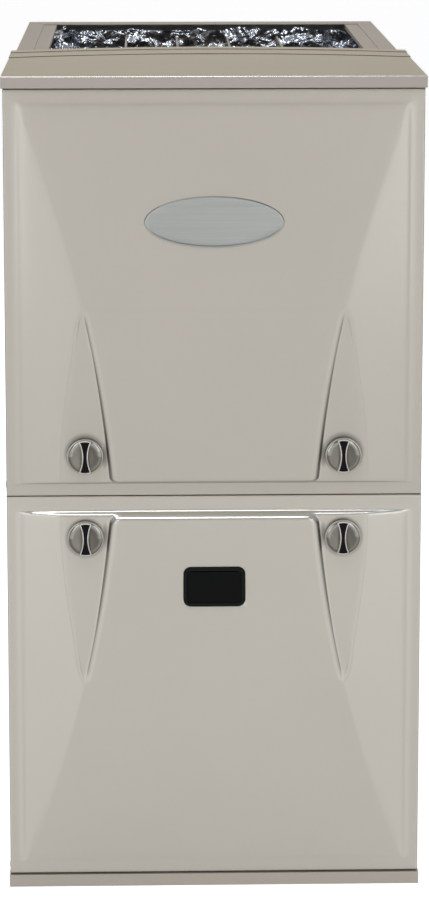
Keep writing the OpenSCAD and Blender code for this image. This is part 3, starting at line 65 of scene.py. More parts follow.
HALF_W = 222.5 * mm          # half the width of the cabinet
FACE_Y = -368 * mm           # the flat rims of the doors
DOOR_DEPTH = 24.5 * mm       # depth of a door pan
DOOR_SHEET = 0.9 * mm        # its sheet
DOOR_RETURN = 12 * mm        # width of the flange that turns inwards behind it
RIM = 16 * mm                # flat rim round the embossed field
FIELD_HALF = HALF_W - RIM
RELIEF_NEAR = 9 * mm         # height of the raised panel at the seam
RELIEF_FAR = 1 * mm          # and at its far edge
PANEL_HALF = 109 * mm        # half its width at the seam
CREASE_LEAN = math.radians(5.4)            # the crease beside the panel starts with this lean
CREASE_R = 1450 * mm         # and follows a circle of this radius
POCKET_L = 190 * mm          # pockets beside the panel: length from the seam
POCKET_W = 53.5 * mm         # and width at the seam
WALL_SLOPE = math.tan(math.radians(60))    # slope of the panel's wall in the pocket

# A door runs between two levels, and "up" says on which side of the seam. "bevel" is the slope that climbs from
# the rim at the seam to the raised panel.
UPPER = {"z": (437.5 * mm, 875 * mm), "up": 1, "seam_rim": 13.3 * mm, "bevel": math.tan(math.radians(70))}
LOWER = {"z": (14.5 * mm, 436.5 * mm), "up": -1, "seam_rim": 16.3 * mm, "bevel": math.tan(math.radians(55))}

# A knob's front and back are planes. Its rim stands "rim" in front of its back, and the grip's ends and waist
# are widths. Behind the door a shaft ends in the latch head.
KNOB = {"x": 138 * mm, "z": (482 * mm, 392 * mm), "r": 19.3 * mm, "front": -381 * mm, "back": -372.93 * mm,
        "rim": 4.84 * mm, "end": 14 * mm, "waist": 6.2 * mm, "shaft": 6 * mm, "head_y": -339 * mm,
        "head": (6 * mm, 15 * mm), "head_r": 4 * mm, "head_t": 4 * mm}
KNOB_RIM_Y = KNOB["back"] - KNOB["rim"]

for door in (UPPER, LOWER):
    door["field"] = door["z"][1] - door["z"][0] - RIM - door["seam_rim"]
    door["seam"] = door["z"][0] if door["up"] > 0 else door["z"][1]
    print("embossed field length, mm:", round(door["field"] / mm, 1))

# %% [markdown]
# ## Turning arrays into meshes
#
# A surface here is a grid of points, computed for all its rows and columns at once. `grid_faces` joins
# neighbouring points into quads, `loft` closes a stack of rings into a solid, `make_mesh` turns arrays into a
# mesh, and `piece` lets it ride on a CAD body. Quads are cheaper to reason about than triangles, and smooth
# shading reads well on them.

# %% Grid and mesh helpers
def grid_faces(rows, cols, wrap_rows=False, wrap_cols=False, start=0):
    """Quads of a grid: each joins (i, j), (i, j+1), (i+1, j+1), (i+1, j). Wrapping joins last to first."""
    i = np.arange(rows if wrap_rows else rows - 1)
    j = np.arange(cols if wrap_cols else cols - 1)
    i, j = np.meshgrid(i, j, indexing="ij")
    i2, j2 = (i + 1) % rows, (j + 1) % cols
    quads = np.stack([i * cols + j, i * cols + j2, i2 * cols + j2, i2 * cols + j], axis=-1)
    return quads.reshape(-1, 4) + start


def loft(rings, capped=True):
    """Points and faces of rings (n, m, 3) joined in order round and along, with a flat cap on each end."""
    n, m = rings.shape[:2]
    faces = [tuple(f) for f in grid_faces(n, m, wrap_cols=True).tolist()]
    if capped:
        faces.append(tuple(range(m - 1, -1, -1)))
        faces.append(tuple(range((n - 1) * m, n * m)))
    return rings.reshape(-1, 3), faces


def make_mesh(name, parts, sharp):
    """One mesh of several (points, faces) parts, looking outwards. Edges sharper than the angle stay crisp."""
    points, faces, start = [], [], 0
    for pts, fcs in parts:
        points.append(np.asarray(pts, dtype=float).reshape(-1, 3))
        faces += [tuple(int(v) + start for v in f) for f in fcs]
        start += len(points[-1])
    mesh = bpy.data.meshes.new(name)
    mesh.from_pydata(np.concatenate(points).tolist(), [], faces)
    bm = bmesh.new()
    bm.from_mesh(mesh)
    bmesh.ops.remove_doubles(bm, verts=bm.verts, dist=1e-6)
    bmesh.ops.recalc_face_normals(bm, faces=bm.faces)
    bm.to_mesh(mesh)
    bm.free()
    mesh.validate()
    mesh.shade_smooth()
    mesh.set_sharp_from_angle(angle=math.radians(sharp))
    return mesh


def piece(name, mesh, material, body, nodes):
    """Links the mesh, paints it, and lets it ride on a CAD body in place of the CAD nodes it stands for."""
    obj = bpy.data.objects.new(name, mesh)
    bpy.context.scene.collection.objects.link(obj)
    obj.data.materials.append(material)
    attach(obj, body)
    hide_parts(*nodes)
    print(f"{name}: {len(mesh.vertices)} points, {len(mesh.polygons)} faces")
    return obj


def cosine_steps(n):
    """n steps from 0 to 1 that crowd at both ends: (1 - cos) / 2, so a crease at an end gets fine quads."""
    return (1 - np.cos(np.linspace(0, math.pi, n + 1))) / 2


print("crowded steps, as an example:", cosine_steps(4).round(2).tolist())

# %% [markdown]
# ## Camera
#
# The photograph looks at the doors almost square on, from a little above the top, through a lens whose picture
# is shifted so that upright edges stay nearly upright. The position below was worked out from the corners of
# the cabinet. The real lens was closer and shifted further. Other views keep the shift, and a bigger one would
# push the furnace out of them, so the camera stands a little further back and higher instead.

# %% Camera at the photograph's angle
IMAGE_H = 900                # the photograph's height in pixels
SENSOR = 36                  # millimetres of sensor behind that height
CAMERA = {"distance": 3.03, "height": 1.200, "side": -0.0735, "pitch": 8.63, "yaw": 1.395,
          "focal_px": 2900, "shift_y": -0.26}


def standing(right, up, ahead, place):
    """Matrix of a camera or lamp, which look along their own -Z. Its columns: right, up, -ahead, place."""
    return Matrix([[r, u, -a, p] for r, u, a, p in zip(right, up, ahead, place)] + [[0, 0, 0, 1]])


def add_camera(c):
    """Camera from its place and turn: it looks along (sin yaw cos pitch, cos yaw cos pitch, -sin pitch)."""
    pitch, yaw = math.radians(c["pitch"]), math.radians(c["yaw"])
    ahead = np.array([math.sin(yaw) * math.cos(pitch), math.cos(yaw) * math.cos(pitch), -math.sin(pitch)])
    right = np.array([math.cos(yaw), -math.sin(yaw), 0.0])
    up = np.cross(right, ahead)
    data = bpy.data.cameras.new("camera")
    data.sensor_width = SENSOR
    data.lens = c["focal_px"] / IMAGE_H * SENSOR
    data.shift_y = c["shift_y"]
    data.clip_end = 100
    camera = bpy.data.objects.new("camera", data)
    camera.matrix_world = standing(right, up, ahead, (c["side"], FACE_Y - c["distance"], c["height"]))
    bpy.context.scene.collection.objects.link(camera)
    bpy.context.scene.camera = camera
    return camera


camera = add_camera(CAMERA)
print("lens, mm:", round(camera.data.lens, 1))

# %% [markdown]
# ## Shader groups
#
# Some effects turn up in many finishes, so each is one node group with named inputs. `paint_texture` is the
# fine peel and flake of sprayed paint, `brushed_lines` the drawn lines of rolled metal, `spangle` the crystals
# of hot dipped zinc, and `settled_dust` a pale veil on faces that look up. A group gives out only colours,
# masks and heights, and the shader itself stays in each material.

# %% Helpers that place nodes
def new_group(name, inputs, outputs):
    """An empty shader group with float inputs {name: default} and outputs {name: kind}, and its end nodes."""
    group = bpy.data.node_groups.new(name, "ShaderNodeTree")
    for key, value in inputs.items():
        sock = group.interface.new_socket(name=key, in_out="INPUT", socket_type="NodeSocketFloat")
        sock.default_value = value
    for key, kind in outputs.items():
        group.interface.new_socket(name=key, in_out="OUTPUT", socket_type=kind)
    return group, group.nodes.new("NodeGroupInput"), group.nodes.new("NodeGroupOutput")


def add(tree, kind, links=None, **settings):
    """Adds a node, sets its properties, and joins or fills its inputs from {input: socket or value}."""
    node = tree.nodes.new(kind)
    for key, value in settings.items():
        setattr(node, key, value)
    for key, value in (links or {}).items():
        if isinstance(value, bpy.types.NodeSocket):
            tree.links.new(value, node.inputs[key])
        else:
            node.inputs[key].default_value = value
    return node


def maths(tree, operation, a, b=None, clamp=False):
    """A Math node's result from one or two sockets or numbers."""
    links = {0: a} if b is None else {0: a, 1: b}
    return add(tree, "ShaderNodeMath", links, operation=operation, use_clamp=clamp).outputs[0]


def stretched(tree, scale=(1, 1, 1)):
    """Object coordinates scaled by (x, y, z): a small scale along one axis draws a pattern out into lines."""
    coords = add(tree, "ShaderNodeTexCoord").outputs["Object"]
    return add(tree, "ShaderNodeMapping", {"Vector": coords, "Scale": scale}).outputs["Vector"]


def part(tree, vector, axis):
    """One of a vector's three numbers."""
    return add(tree, "ShaderNodeSeparateXYZ", {0: vector}).outputs[axis]


def normal(tree, axis):
    """How much the surface looks along an axis: that number of its normal."""
    return part(tree, add(tree, "ShaderNodeNewGeometry").outputs["Normal"], axis)


def ramp(tree, value, low, high, start=0.0, end=1.0):
    """start at low and before, end at high and after, and a straight line between. low may be above high."""
    return add(tree, "ShaderNodeMapRange", {"Value": value, "From Min": low, "From Max": high,
                                            "To Min": start, "To Max": end}).outputs["Result"]


print("node helpers:", [f.__name__ for f in (new_group, add, maths, stretched, part, normal, ramp)])

# %% The four shared groups
FLOAT = "NodeSocketFloat"


def paint_texture_group():
    """Peel is a soft noise about 3 mm wide, and flake a fine one about 0.3 mm wide. Cloud varies over 15 cm."""
    g, gin, gout = new_group("paint_texture", {"Peel": 1.0, "Flake": 0.3},
                             {"Height": FLOAT, "Flake": FLOAT, "Cloud": FLOAT})
    place = stretched(g)
    peel = add(g, "ShaderNodeTexNoise", {"Vector": place, "Scale": 330.0, "Detail": 2.0}).outputs["Fac"]
    flake = add(g, "ShaderNodeTexNoise", {"Vector": place, "Scale": 2600.0, "Detail": 1.0}).outputs["Fac"]
    cloud = add(g, "ShaderNodeTexNoise", {"Vector": place, "Scale": 6.5, "Detail": 2.0}).outputs["Fac"]
    height = maths(g, "ADD", maths(g, "MULTIPLY", peel, gin.outputs["Peel"]),
                   maths(g, "MULTIPLY", flake, gin.outputs["Flake"]))
    g.links.new(height, gout.inputs["Height"])
    g.links.new(flake, gout.inputs["Flake"])
    g.links.new(cloud, gout.inputs["Cloud"])
    return g


def brushed_lines_group():
    """Two noises drawn out along X, one fine and one coarse: Lines is their mean."""
    g, gin, gout = new_group("brushed_lines", {"Scale": 900.0, "Length": 0.02}, {"Lines": FLOAT})
    coords = stretched(g)
    short_x = maths(g, "MULTIPLY", part(g, coords, "X"), gin.outputs["Length"])
    place = add(g, "ShaderNodeCombineXYZ", {"X": short_x, "Y": part(g, coords, "Y"),
                                            "Z": part(g, coords, "Z")}).outputs[0]
    coarse = maths(g, "MULTIPLY", gin.outputs["Scale"], 0.27)
    fine = add(g, "ShaderNodeTexNoise", {"Vector": place, "Scale": gin.outputs["Scale"], "Detail": 3.0})
    wide = add(g, "ShaderNodeTexNoise", {"Vector": place, "Scale": coarse, "Detail": 2.0})
    mean = maths(g, "MULTIPLY", maths(g, "ADD", fine.outputs["Fac"], wide.outputs["Fac"]), 0.5)
    g.links.new(mean, gout.inputs["Lines"])
    return g


def spangle_group():
    """Voronoi cells, bent by a 6 mm noise, stand for zinc crystals: Tone is each cell's random grey."""
    g, gin, gout = new_group("spangle", {"Scale": 90.0}, {"Tone": FLOAT})
    place = stretched(g)
    warp = add(g, "ShaderNodeTexNoise", {"Vector": place, "Scale": 60.0}).outputs["Color"]
    shift = add(g, "ShaderNodeVectorMath", {0: warp, 1: (0.006, 0.006, 0.006)}, operation="MULTIPLY").outputs[0]
    moved = add(g, "ShaderNodeVectorMath", {0: place, 1: shift}, operation="ADD").outputs[0]
    cells = add(g, "ShaderNodeTexVoronoi", {"Vector": moved, "Scale": gin.outputs["Scale"]})
    tone = add(g, "ShaderNodeSeparateColor", {0: cells.outputs["Color"]}).outputs[0]
    g.links.new(tone, gout.inputs["Tone"])
    return g


def settled_dust_group():
    """Dust is Amount where the face looks up: the normal's Z, cut at 0.6, times a cloudy noise."""
    g, gin, gout = new_group("settled_dust", {"Amount": 0.2}, {"Mask": FLOAT})
    facing = maths(g, "MULTIPLY", maths(g, "SUBTRACT", normal(g, "Z"), 0.6), 2.5, clamp=True)
    cloud = add(g, "ShaderNodeTexNoise", {"Vector": stretched(g), "Scale": 24.0, "Detail": 4.0})
    mask = maths(g, "MULTIPLY", maths(g, "MULTIPLY", facing, cloud.outputs["Fac"]), gin.outputs["Amount"],
                 clamp=True)
    g.links.new(mask, gout.inputs["Mask"])
    return g


GROUPS = {g.name: g for g in (paint_texture_group(), brushed_lines_group(), spangle_group(),
                              settled_dust_group())}
print("shader groups:", sorted(GROUPS))

# %% [markdown]
# ## Finishes
#
# A finish starts from one Principled shader. Values that are the same all over are typed into its own sockets.
# What changes over the surface comes from the groups: paint gets peel and flake, zinc its spangle, moulded
# plastic a fine grain. Colours are written in sRGB, as a colour picker reads them from the photograph, and
# turned to linear light here, because shaders work in linear light.

# %% Material helpers
def linear(r, g, b):
    """Linear light from sRGB bytes: c / 12.92 up to 0.04045, and ((c + 0.055) / 1.055) ^ 2.4 above it."""
    c = np.array([r, g, b]) / 255
    return tuple(np.where(c <= 0.04045, c / 12.92, ((c + 0.055) / 1.055) ** 2.4).tolist()) + (1.0,)


FINISH = {}


def principled(name, color, **sockets):
    """A material with one Principled shader, kept in FINISH. Constants are set on the shader's own sockets."""
    mat = bpy.data.materials.new(name)
    FINISH[name] = mat
    mat.use_nodes = True
    tree = mat.node_tree
    shader = tree.nodes["Principled BSDF"]
    shader.inputs["Base Color"].default_value = color
    for key, value in sockets.items():
        shader.inputs[key.replace("_", " ")].default_value = value
    return tree, shader


def shade(color, factor):
    """A colour made darker or lighter by a factor, with no channel above 1."""
    return tuple(min(1.0, c * factor) for c in color[:3]) + (1.0,)


def placed(tree, name, **values):
    """One of the shared groups inside a material, with its own values."""
    node = tree.nodes.new("ShaderNodeGroup")
    node.node_tree = GROUPS[name]
    for key, value in values.items():
        node.inputs[key].default_value = value
    return node


def mix(tree, fac, a, b):
    """Colour a to colour b by a mask."""
    node = add(tree, "ShaderNodeMix", data_type="RGBA")
    for index, value in ((0, fac), (6, a), (7, b)):
        if isinstance(value, bpy.types.NodeSocket):
            tree.links.new(value, node.inputs[index])
        else:
            node.inputs[index].default_value = value
    return node.outputs[2]


def spread(tree, fac, low, high):
    """A mask of 0 to 1 stretched to low to high."""
    return ramp(tree, fac, 0.0, 1.0, low, high)


def bump(tree, shader, height, distance, strength=1.0):
    """Feeds a height to the shader's normal: distance is how far, in metres, a height of 1 stands out."""
    node = add(tree, "ShaderNodeBump", {"Height": height, "Distance": distance, "Strength": strength})
    tree.links.new(node.outputs["Normal"], shader.inputs["Normal"])


print("middle grey, 128 of 255, in linear light:", round(linear(128, 128, 128)[0], 3))

# %% [markdown]
# ### Pearl paint
#
# The cabinet is sprayed a warm grey with a little metal flake. Close up the film has a soft peel. The flake
# makes faces that turn towards a lamp light up more than plain paint does, so the shader is partly metallic
# with a thin clear coat. A cloudy noise shifts the tone by a few percent, as any sprayed sheet shows.
#
# The doors show more than their lamps explain, so light and shade are painted into their colour. Faces that
# lean a little sideways are painted paler, painted light, and steep walls darker, painted shade. Tight bends
# along the bevels are polished and catch the overhead lamp, and a painted highlight pales them further. A
# painted shadow lies round each knob and on the pocket's wall beside it. All of it comes from the surface's own
# place and normal, so it stays put when the camera moves.

# %% Painted light and shade that follow the lean and the knobs
# painted light pales facets that lean a little sideways, and painted shade darkens steep walls
FACET_LIGHT_FROM, FACET_LIGHT_TO = (0.02, 0.045), (0.1, 0.17)   # the normal's X where a facet starts to pale, and stops
WALL_SHADE_FROM = (0.2, 0.6)                            # and where a steep wall darkens
WALL_SHADE_TONE, WALL_SHADE_SHARE = linear(60, 54, 47), 0.72
# painted shade: a dark halo round each knob and a dark lens on the pocket's wall beside it
SHADE_TONE = linear(66, 60, 50)
SHADE_LEVEL = 438.2 * mm                          # the shades mirror above and below this level
KNOB_HALO_SHADE = {"x": 138 * mm, "z": 46.4 * mm, "w": 19.3 * mm, "h": 19.3 * mm, "clear": 1.45, "full": 0.8,
             "dark": 0.62}
WALL_LENS_SHADE = {"x": 117 * mm, "z": 44 * mm, "w": 4.5 * mm, "h": 15 * mm, "clear": 1.0, "full": 0.0, "dark": 0.7}


def painted_lean_light_and_shade(tree, color, painted_facet_light):
    """Painted light and shade by lean: faces that lean a little sideways are painted paler, walls painted
    darker.

    The lean is the normal's X: pale between 2 and 8 degrees, dark above 25 degrees.
    """
    lean = maths(tree, "ABSOLUTE", normal(tree, "X"))
    facet = maths(tree, "MULTIPLY", ramp(tree, lean, *FACET_LIGHT_FROM), ramp(tree, lean, *FACET_LIGHT_TO[::-1]))
    lit = mix(tree, maths(tree, "MULTIPLY", facet, painted_facet_light), color, (1, 1, 1, 1))
    return mix(tree, ramp(tree, lean, *WALL_SHADE_FROM, 0.0, WALL_SHADE_SHARE), lit, WALL_SHADE_TONE)


def knob_shade(tree, color):
    """Painted shade: a soft dark halo round each knob, and a dark lens on the pocket's wall beside it.

    Both are ellipses: ((|x| - cx) / w)^2 + ((|z - level| - cz) / h)^2 runs from clear to full.
    """
    place = stretched(tree)
    aside = maths(tree, "ABSOLUTE", part(tree, place, "X"))
    level = maths(tree, "ABSOLUTE", maths(tree, "SUBTRACT", part(tree, place, "Z"), SHADE_LEVEL))
    darks = []
    for spot in (KNOB_HALO_SHADE, WALL_LENS_SHADE):
        across = maths(tree, "DIVIDE", maths(tree, "SUBTRACT", aside, spot["x"]), spot["w"])
        above = maths(tree, "DIVIDE", maths(tree, "SUBTRACT", level, spot["z"]), spot["h"])
        far = maths(tree, "ADD", maths(tree, "MULTIPLY", across, across), maths(tree, "MULTIPLY", above, above))
        darks.append(ramp(tree, far, spot["clear"], spot["full"], 0.0, spot["dark"]))
    return mix(tree, maths(tree, "MAXIMUM", *darks), color, SHADE_TONE)


print("halo's middle above and below the level, mm:", round(KNOB_HALO_SHADE["z"] / mm, 1))

# %% Polished bends with a painted highlight, and forward faces with painted light and shade
# bends that look forwards and up are polished and also get a painted highlight
HIGHLIGHT_BEND_FROM, HIGHLIGHT_BEND_TO = (0.25, 0.38), (0.66, 0.78)   # the normal's Z where the polished band starts and stops
FORWARD = (-0.9, -0.97)                           # the normal's Y of a face that looks straight forwards


def polished_bends_and_highlight(tree, shader, color, rough, metallic, top, gloss):
    """Bends under the level top that look forwards and up, normal Z from 0.3 to 0.7: mirror like, and paled
    towards white as a painted highlight.
    """
    up = normal(tree, "Z")
    band = maths(tree, "MULTIPLY", ramp(tree, up, *HIGHLIGHT_BEND_FROM), ramp(tree, up, *HIGHLIGHT_BEND_TO[::-1]))
    ahead = maths(tree, "MULTIPLY", normal(tree, "Y"), -4.0, clamp=True)
    under = ramp(tree, part(tree, stretched(tree), "Z"), top, top - 1 * mm)
    mask = maths(tree, "MULTIPLY", band, maths(tree, "MULTIPLY", ahead, under))
    tree.links.new(spread(tree, mask, metallic, gloss), shader.inputs["Metallic"])
    return (mix(tree, maths(tree, "MULTIPLY", mask, gloss), color, (1, 1, 1, 1)),
            maths(tree, "MULTIPLY", rough, spread(tree, mask, 1.0, 0.45)))


def front_light_and_shade(tree, color, front):
    """Faces that look straight forwards take another tone: painted light where it is paler, painted shade where
    it is darker.
    """
    return mix(tree, ramp(tree, normal(tree, "Y"), *FORWARD), color, front)


print("a bend shines between these leans, degrees:",
      [round(math.degrees(math.asin(v))) for v in (HIGHLIGHT_BEND_FROM[1], HIGHLIGHT_BEND_TO[0])])

# %% Paint of the cabinet and its trim
def pearl_paint(name, color, dust=0.0, peel=1.0, roughness=(0.3, 0.36), metallic=0.35, coat=0.8, shine=0.5,
                painted_facet_light=0.0, bends=None, front=None):
    """Base colour varies a little with the cloud and the flake, and dust pales it where it looks up."""
    tree, shader = principled(name, color, Metallic=metallic, Coat_Weight=coat, Coat_Roughness=0.14,
                              Specular_IOR_Level=shine)
    texture = placed(tree, "paint_texture", Peel=peel, Flake=0.3)
    tone = mix(tree, texture.outputs["Cloud"], shade(color, 0.955), shade(color, 1.045))
    grain = mix(tree, spread(tree, texture.outputs["Flake"], 0.0, 0.16), tone, linear(214, 210, 203))
    rough = spread(tree, texture.outputs["Cloud"], *roughness)
    if dust:
        veil = placed(tree, "settled_dust", Amount=dust)
        grain = mix(tree, veil.outputs["Mask"], grain, linear(196, 190, 180))
    # painted light on leaning facets, painted shade on walls and round the knobs
    if painted_facet_light:
        grain = knob_shade(tree, painted_lean_light_and_shade(tree, grain, painted_facet_light))
    # forward faces take painted light where their tone is paler, painted shade where it is darker
    if front:
        grain = front_light_and_shade(tree, grain, front)
    # polished bends with a painted highlight
    if bends:
        grain, rough = polished_bends_and_highlight(tree, shader, grain, rough, metallic, *bends)
    tree.links.new(grain, shader.inputs["Base Color"])
    tree.links.new(rough, shader.inputs["Roughness"])
    bump(tree, shader, texture.outputs["Height"], 0.06 * mm)


SATIN = {"roughness": (0.5, 0.6), "metallic": 0.05, "coat": 0.0, "shine": 0.12}
# lit and shaded copies of one door paint: the upper is painted a little darker, the lower paler, with more
# painted light on its leaning facets
pearl_paint("upper_door_paint", linear(178, 172, 162), painted_facet_light=0.035, coat=0.4, roughness=(0.4, 0.46))
# the lower door's bevel bends get a painted highlight
pearl_paint("lower_door_paint", linear(182, 177, 166), painted_facet_light=0.085, peel=0.4, bends=(430 * mm, 0.66))
pearl_paint("case_paint", linear(172, 161, 149), dust=0.1, **SATIN)
# the lip's bend gets a painted highlight, and the trim's forward faces a paler tone, painted light
pearl_paint("trim_paint", linear(186, 177, 157), peel=0.4, bends=(900 * mm, 0.95),
            front=linear(190, 181, 175), **SATIN)
# the steps' forward faces are painted dark: painted shade under each step's edge
pearl_paint("step_paint", linear(186, 177, 157), front=linear(132, 118, 98), **SATIN)
pearl_paint("lip_paint", linear(164, 156, 144))
print("paints:", sorted(FINISH))

# %% [markdown]
# ### Metals
#
# Inner panels are zinc coated, and their crystals show as a faint mosaic. Heat exchanger cells are aluminised
# steel that the flame tints brown. The plate on the upper door is brushed along its length. Foil is almost a
# mirror: its look comes from its folds, so its shader is smooth and bright.

# %% Metal finishes
def zinc(name, color, rough=(0.32, 0.5), scale=90.0):
    """Zinc: the spangle's tone moves colour and roughness."""
    tree, shader = principled(name, color, Metallic=0.9)
    cells = placed(tree, "spangle", Scale=scale)
    tone = mix(tree, cells.outputs["Tone"], shade(color, 0.86), shade(color, 1.12))
    veil = placed(tree, "settled_dust", Amount=0.1)
    tree.links.new(mix(tree, veil.outputs["Mask"], tone, linear(170, 166, 158)), shader.inputs["Base Color"])
    tree.links.new(spread(tree, cells.outputs["Tone"], *rough), shader.inputs["Roughness"])


def brushed(name, color, scale, length, rough=(0.22, 0.42), height=0.02 * mm):
    """Brushed metal: lines along X move the colour, the roughness and a very small height."""
    tree, shader = principled(name, color, Metallic=1.0)
    lines = placed(tree, "brushed_lines", Scale=scale, Length=length)
    tone = mix(tree, lines.outputs["Lines"], shade(color, 0.8), shade(color, 1.15))
    tree.links.new(tone, shader.inputs["Base Color"])
    tree.links.new(spread(tree, lines.outputs["Lines"], *rough), shader.inputs["Roughness"])
    bump(tree, shader, lines.outputs["Lines"], height)


def heated_steel():
    """Aluminised steel: a cloudy noise mixes bare grey with straw and brown heat tint."""
    tree, shader = principled("heated_steel", linear(150, 141, 128), Metallic=0.75)
    cloud = add(tree, "ShaderNodeTexNoise", {"Vector": stretched(tree, (1, 1, 0.6)), "Scale": 14.0,
                                             "Detail": 5.0})
    tint = add(tree, "ShaderNodeValToRGB", {"Fac": cloud.outputs["Fac"]})
    for stop, position, color in zip(tint.color_ramp.elements, (0.35, 0.68),
                                     (linear(152, 146, 136), linear(133, 118, 98))):
        stop.position, stop.color = position, color
    tree.links.new(tint.outputs["Color"], shader.inputs["Base Color"])
    tree.links.new(spread(tree, cloud.outputs["Fac"], 0.34, 0.55), shader.inputs["Roughness"])
    bump(tree, shader, cloud.outputs["Fac"], 0.4 * mm, 0.6)


def foil():
    """Bright foil: small wrinkles from a warped noise in the normal, over the folds in the mesh."""
    tree, shader = principled("foil", linear(232, 240, 253), Metallic=1.0, Roughness=0.1)
    place = stretched(tree)
    warp = add(tree, "ShaderNodeTexNoise", {"Vector": place, "Scale": 55.0, "Detail": 2.0, "Distortion": 1.6})
    cells = add(tree, "ShaderNodeTexVoronoi", {"Vector": place, "Scale": 70.0}, feature="F1")
    height = maths(tree, "ADD", warp.outputs["Fac"], maths(tree, "MULTIPLY", cells.outputs["Distance"], 0.5))
    tree.links.new(spread(tree, warp.outputs["Fac"], 0.06, 0.26), shader.inputs["Roughness"])
    bump(tree, shader, height, 3 * mm, 0.9)


zinc("zinc", linear(176, 178, 178))
zinc("zinc_dark", linear(140, 143, 144), scale=70.0)
zinc("wheel_zinc", linear(160, 163, 165), rough=(0.38, 0.52), scale=140.0)
heated_steel()
foil()
brushed("plate", linear(150, 152, 150), scale=1300.0, length=0.012)
brushed("coil_fins", linear(190, 192, 195), scale=1500.0, length=1.0, rough=(0.3, 0.5))
brushed("cast_alloy", linear(168, 170, 172), scale=700.0, length=1.0, rough=(0.4, 0.6), height=0.08 * mm)
brushed("turned_steel", linear(190, 190, 188), scale=1200.0, length=4.0)
brushed("screw_head", linear(176, 172, 164), scale=1500.0, length=1.0, rough=(0.3, 0.45))
brushed("laminations", linear(96, 98, 100), scale=500.0, length=0.4, rough=(0.45, 0.6))
print("paints and metals:", len(FINISH))

# %% [markdown]
# ### Plastics, rubber, glass and paper
#
# Moulded plastic has a spark eroded grain, rubber a duller and finer one. The knobs are a smooth grey plastic
# with a silky shine. The sight glass is an opaque, nearly black surface: the unlit inside behind it is painted
# shade. Filter paper is soft and fibrous, and ceramic is dry and slightly speckled.

# %% Other finishes
def moulded(name, color, rough=(0.42, 0.55), grain=900.0, depth=0.05 * mm, **sockets):
    """Moulded plastic or rubber: one noise sets grain height, roughness and a slight tone."""
    tree, shader = principled(name, color, **sockets)
    noise = add(tree, "ShaderNodeTexNoise", {"Vector": stretched(tree), "Scale": grain,
                                             "Detail": 3.0}).outputs["Fac"]
    tree.links.new(mix(tree, noise, shade(color, 0.9), shade(color, 1.08)), shader.inputs["Base Color"])
    tree.links.new(spread(tree, noise, *rough), shader.inputs["Roughness"])
    bump(tree, shader, noise, depth)


def circuit_board():
    """Board: fine square traces from a brick pattern under green lacquer."""
    tree, shader = principled("circuit_board", linear(38, 92, 60), Roughness=0.35, Coat_Weight=0.4)
    bricks = add(tree, "ShaderNodeTexBrick", {"Vector": stretched(tree), "Scale": 160.0,
                                              "Mortar Size": 0.03})
    bricks.inputs["Color1"].default_value = linear(40, 98, 62)
    bricks.inputs["Color2"].default_value = linear(34, 84, 54)
    bricks.inputs["Mortar"].default_value = linear(70, 132, 90)
    tree.links.new(bricks.outputs["Color"], shader.inputs["Base Color"])


def filter_paper():
    """Paper: fibres are a noise drawn out along X, in tone and height."""
    tree, shader = principled("filter_paper", linear(222, 220, 212), Roughness=0.85)
    fibre = add(tree, "ShaderNodeTexNoise", {"Vector": stretched(tree, (0.4, 1, 1)), "Scale": 600.0,
                                             "Detail": 5.0}).outputs["Fac"]
    tree.links.new(mix(tree, fibre, linear(206, 203, 194), linear(232, 230, 224)), shader.inputs["Base Color"])
    bump(tree, shader, fibre, 0.3 * mm)


def knob_plastic():
    """Smooth grey plastic. Depth sets tone and gloss: the dish is duller and painted darker as painted shade,
    ring and border are painted paler as painted highlights.

    In the dish, what leans to the left is painted darker than what leans to the right: painted shade. Only the
    upper half is glossy.
    """
    tree, shader = principled("knob_plastic", linear(138, 134, 125), Coat_Roughness=0.08, Coat_IOR=2.0)
    place = stretched(tree)
    depth, level = part(tree, place, "Y"), part(tree, place, "Z")
    gloss = ramp(tree, depth, KNOB_RIM_Y + 1.57 * mm, KNOB_RIM_Y + 1.07 * mm)
    ring = ramp(tree, depth, KNOB_RIM_Y + 0.77 * mm, KNOB_RIM_Y + 0.27 * mm)
    border = ramp(tree, depth, KNOB["front"] + 1.4 * mm, KNOB["front"] + 0.8 * mm)
    # painted shade in the dish, darker where it leans left; painted highlights on ring and border
    dish = mix(tree, ramp(tree, normal(tree, "X"), -0.2, 0.2), linear(96, 92, 81), linear(144, 140, 130))
    tone = mix(tree, border, mix(tree, ring, dish, linear(180, 176, 164)), linear(216, 213, 204))
    noise = add(tree, "ShaderNodeTexNoise", {"Vector": place, "Scale": 500.0, "Detail": 3.0}).outputs["Fac"]
    tree.links.new(mix(tree, spread(tree, noise, 0.0, 0.1), tone, linear(120, 116, 106)),
                   shader.inputs["Base Color"])
    tree.links.new(spread(tree, noise, 0.3, 0.4), shader.inputs["Roughness"])
    pitch = KNOB["z"][0] - KNOB["z"][1]
    height = maths(tree, "FLOORED_MODULO", maths(tree, "SUBTRACT", level, KNOB["z"][1]), pitch)
    upper = ramp(tree, height, pitch / 2 + 3 * mm, pitch / 2 - 3 * mm)
    tree.links.new(maths(tree, "MULTIPLY", gloss, upper), shader.inputs["Coat Weight"])


knob_plastic()
moulded("inlay_black", linear(9, 8, 14), rough=(0.5, 0.6), grain=700.0, depth=0.02 * mm, Specular_IOR_Level=0.1)
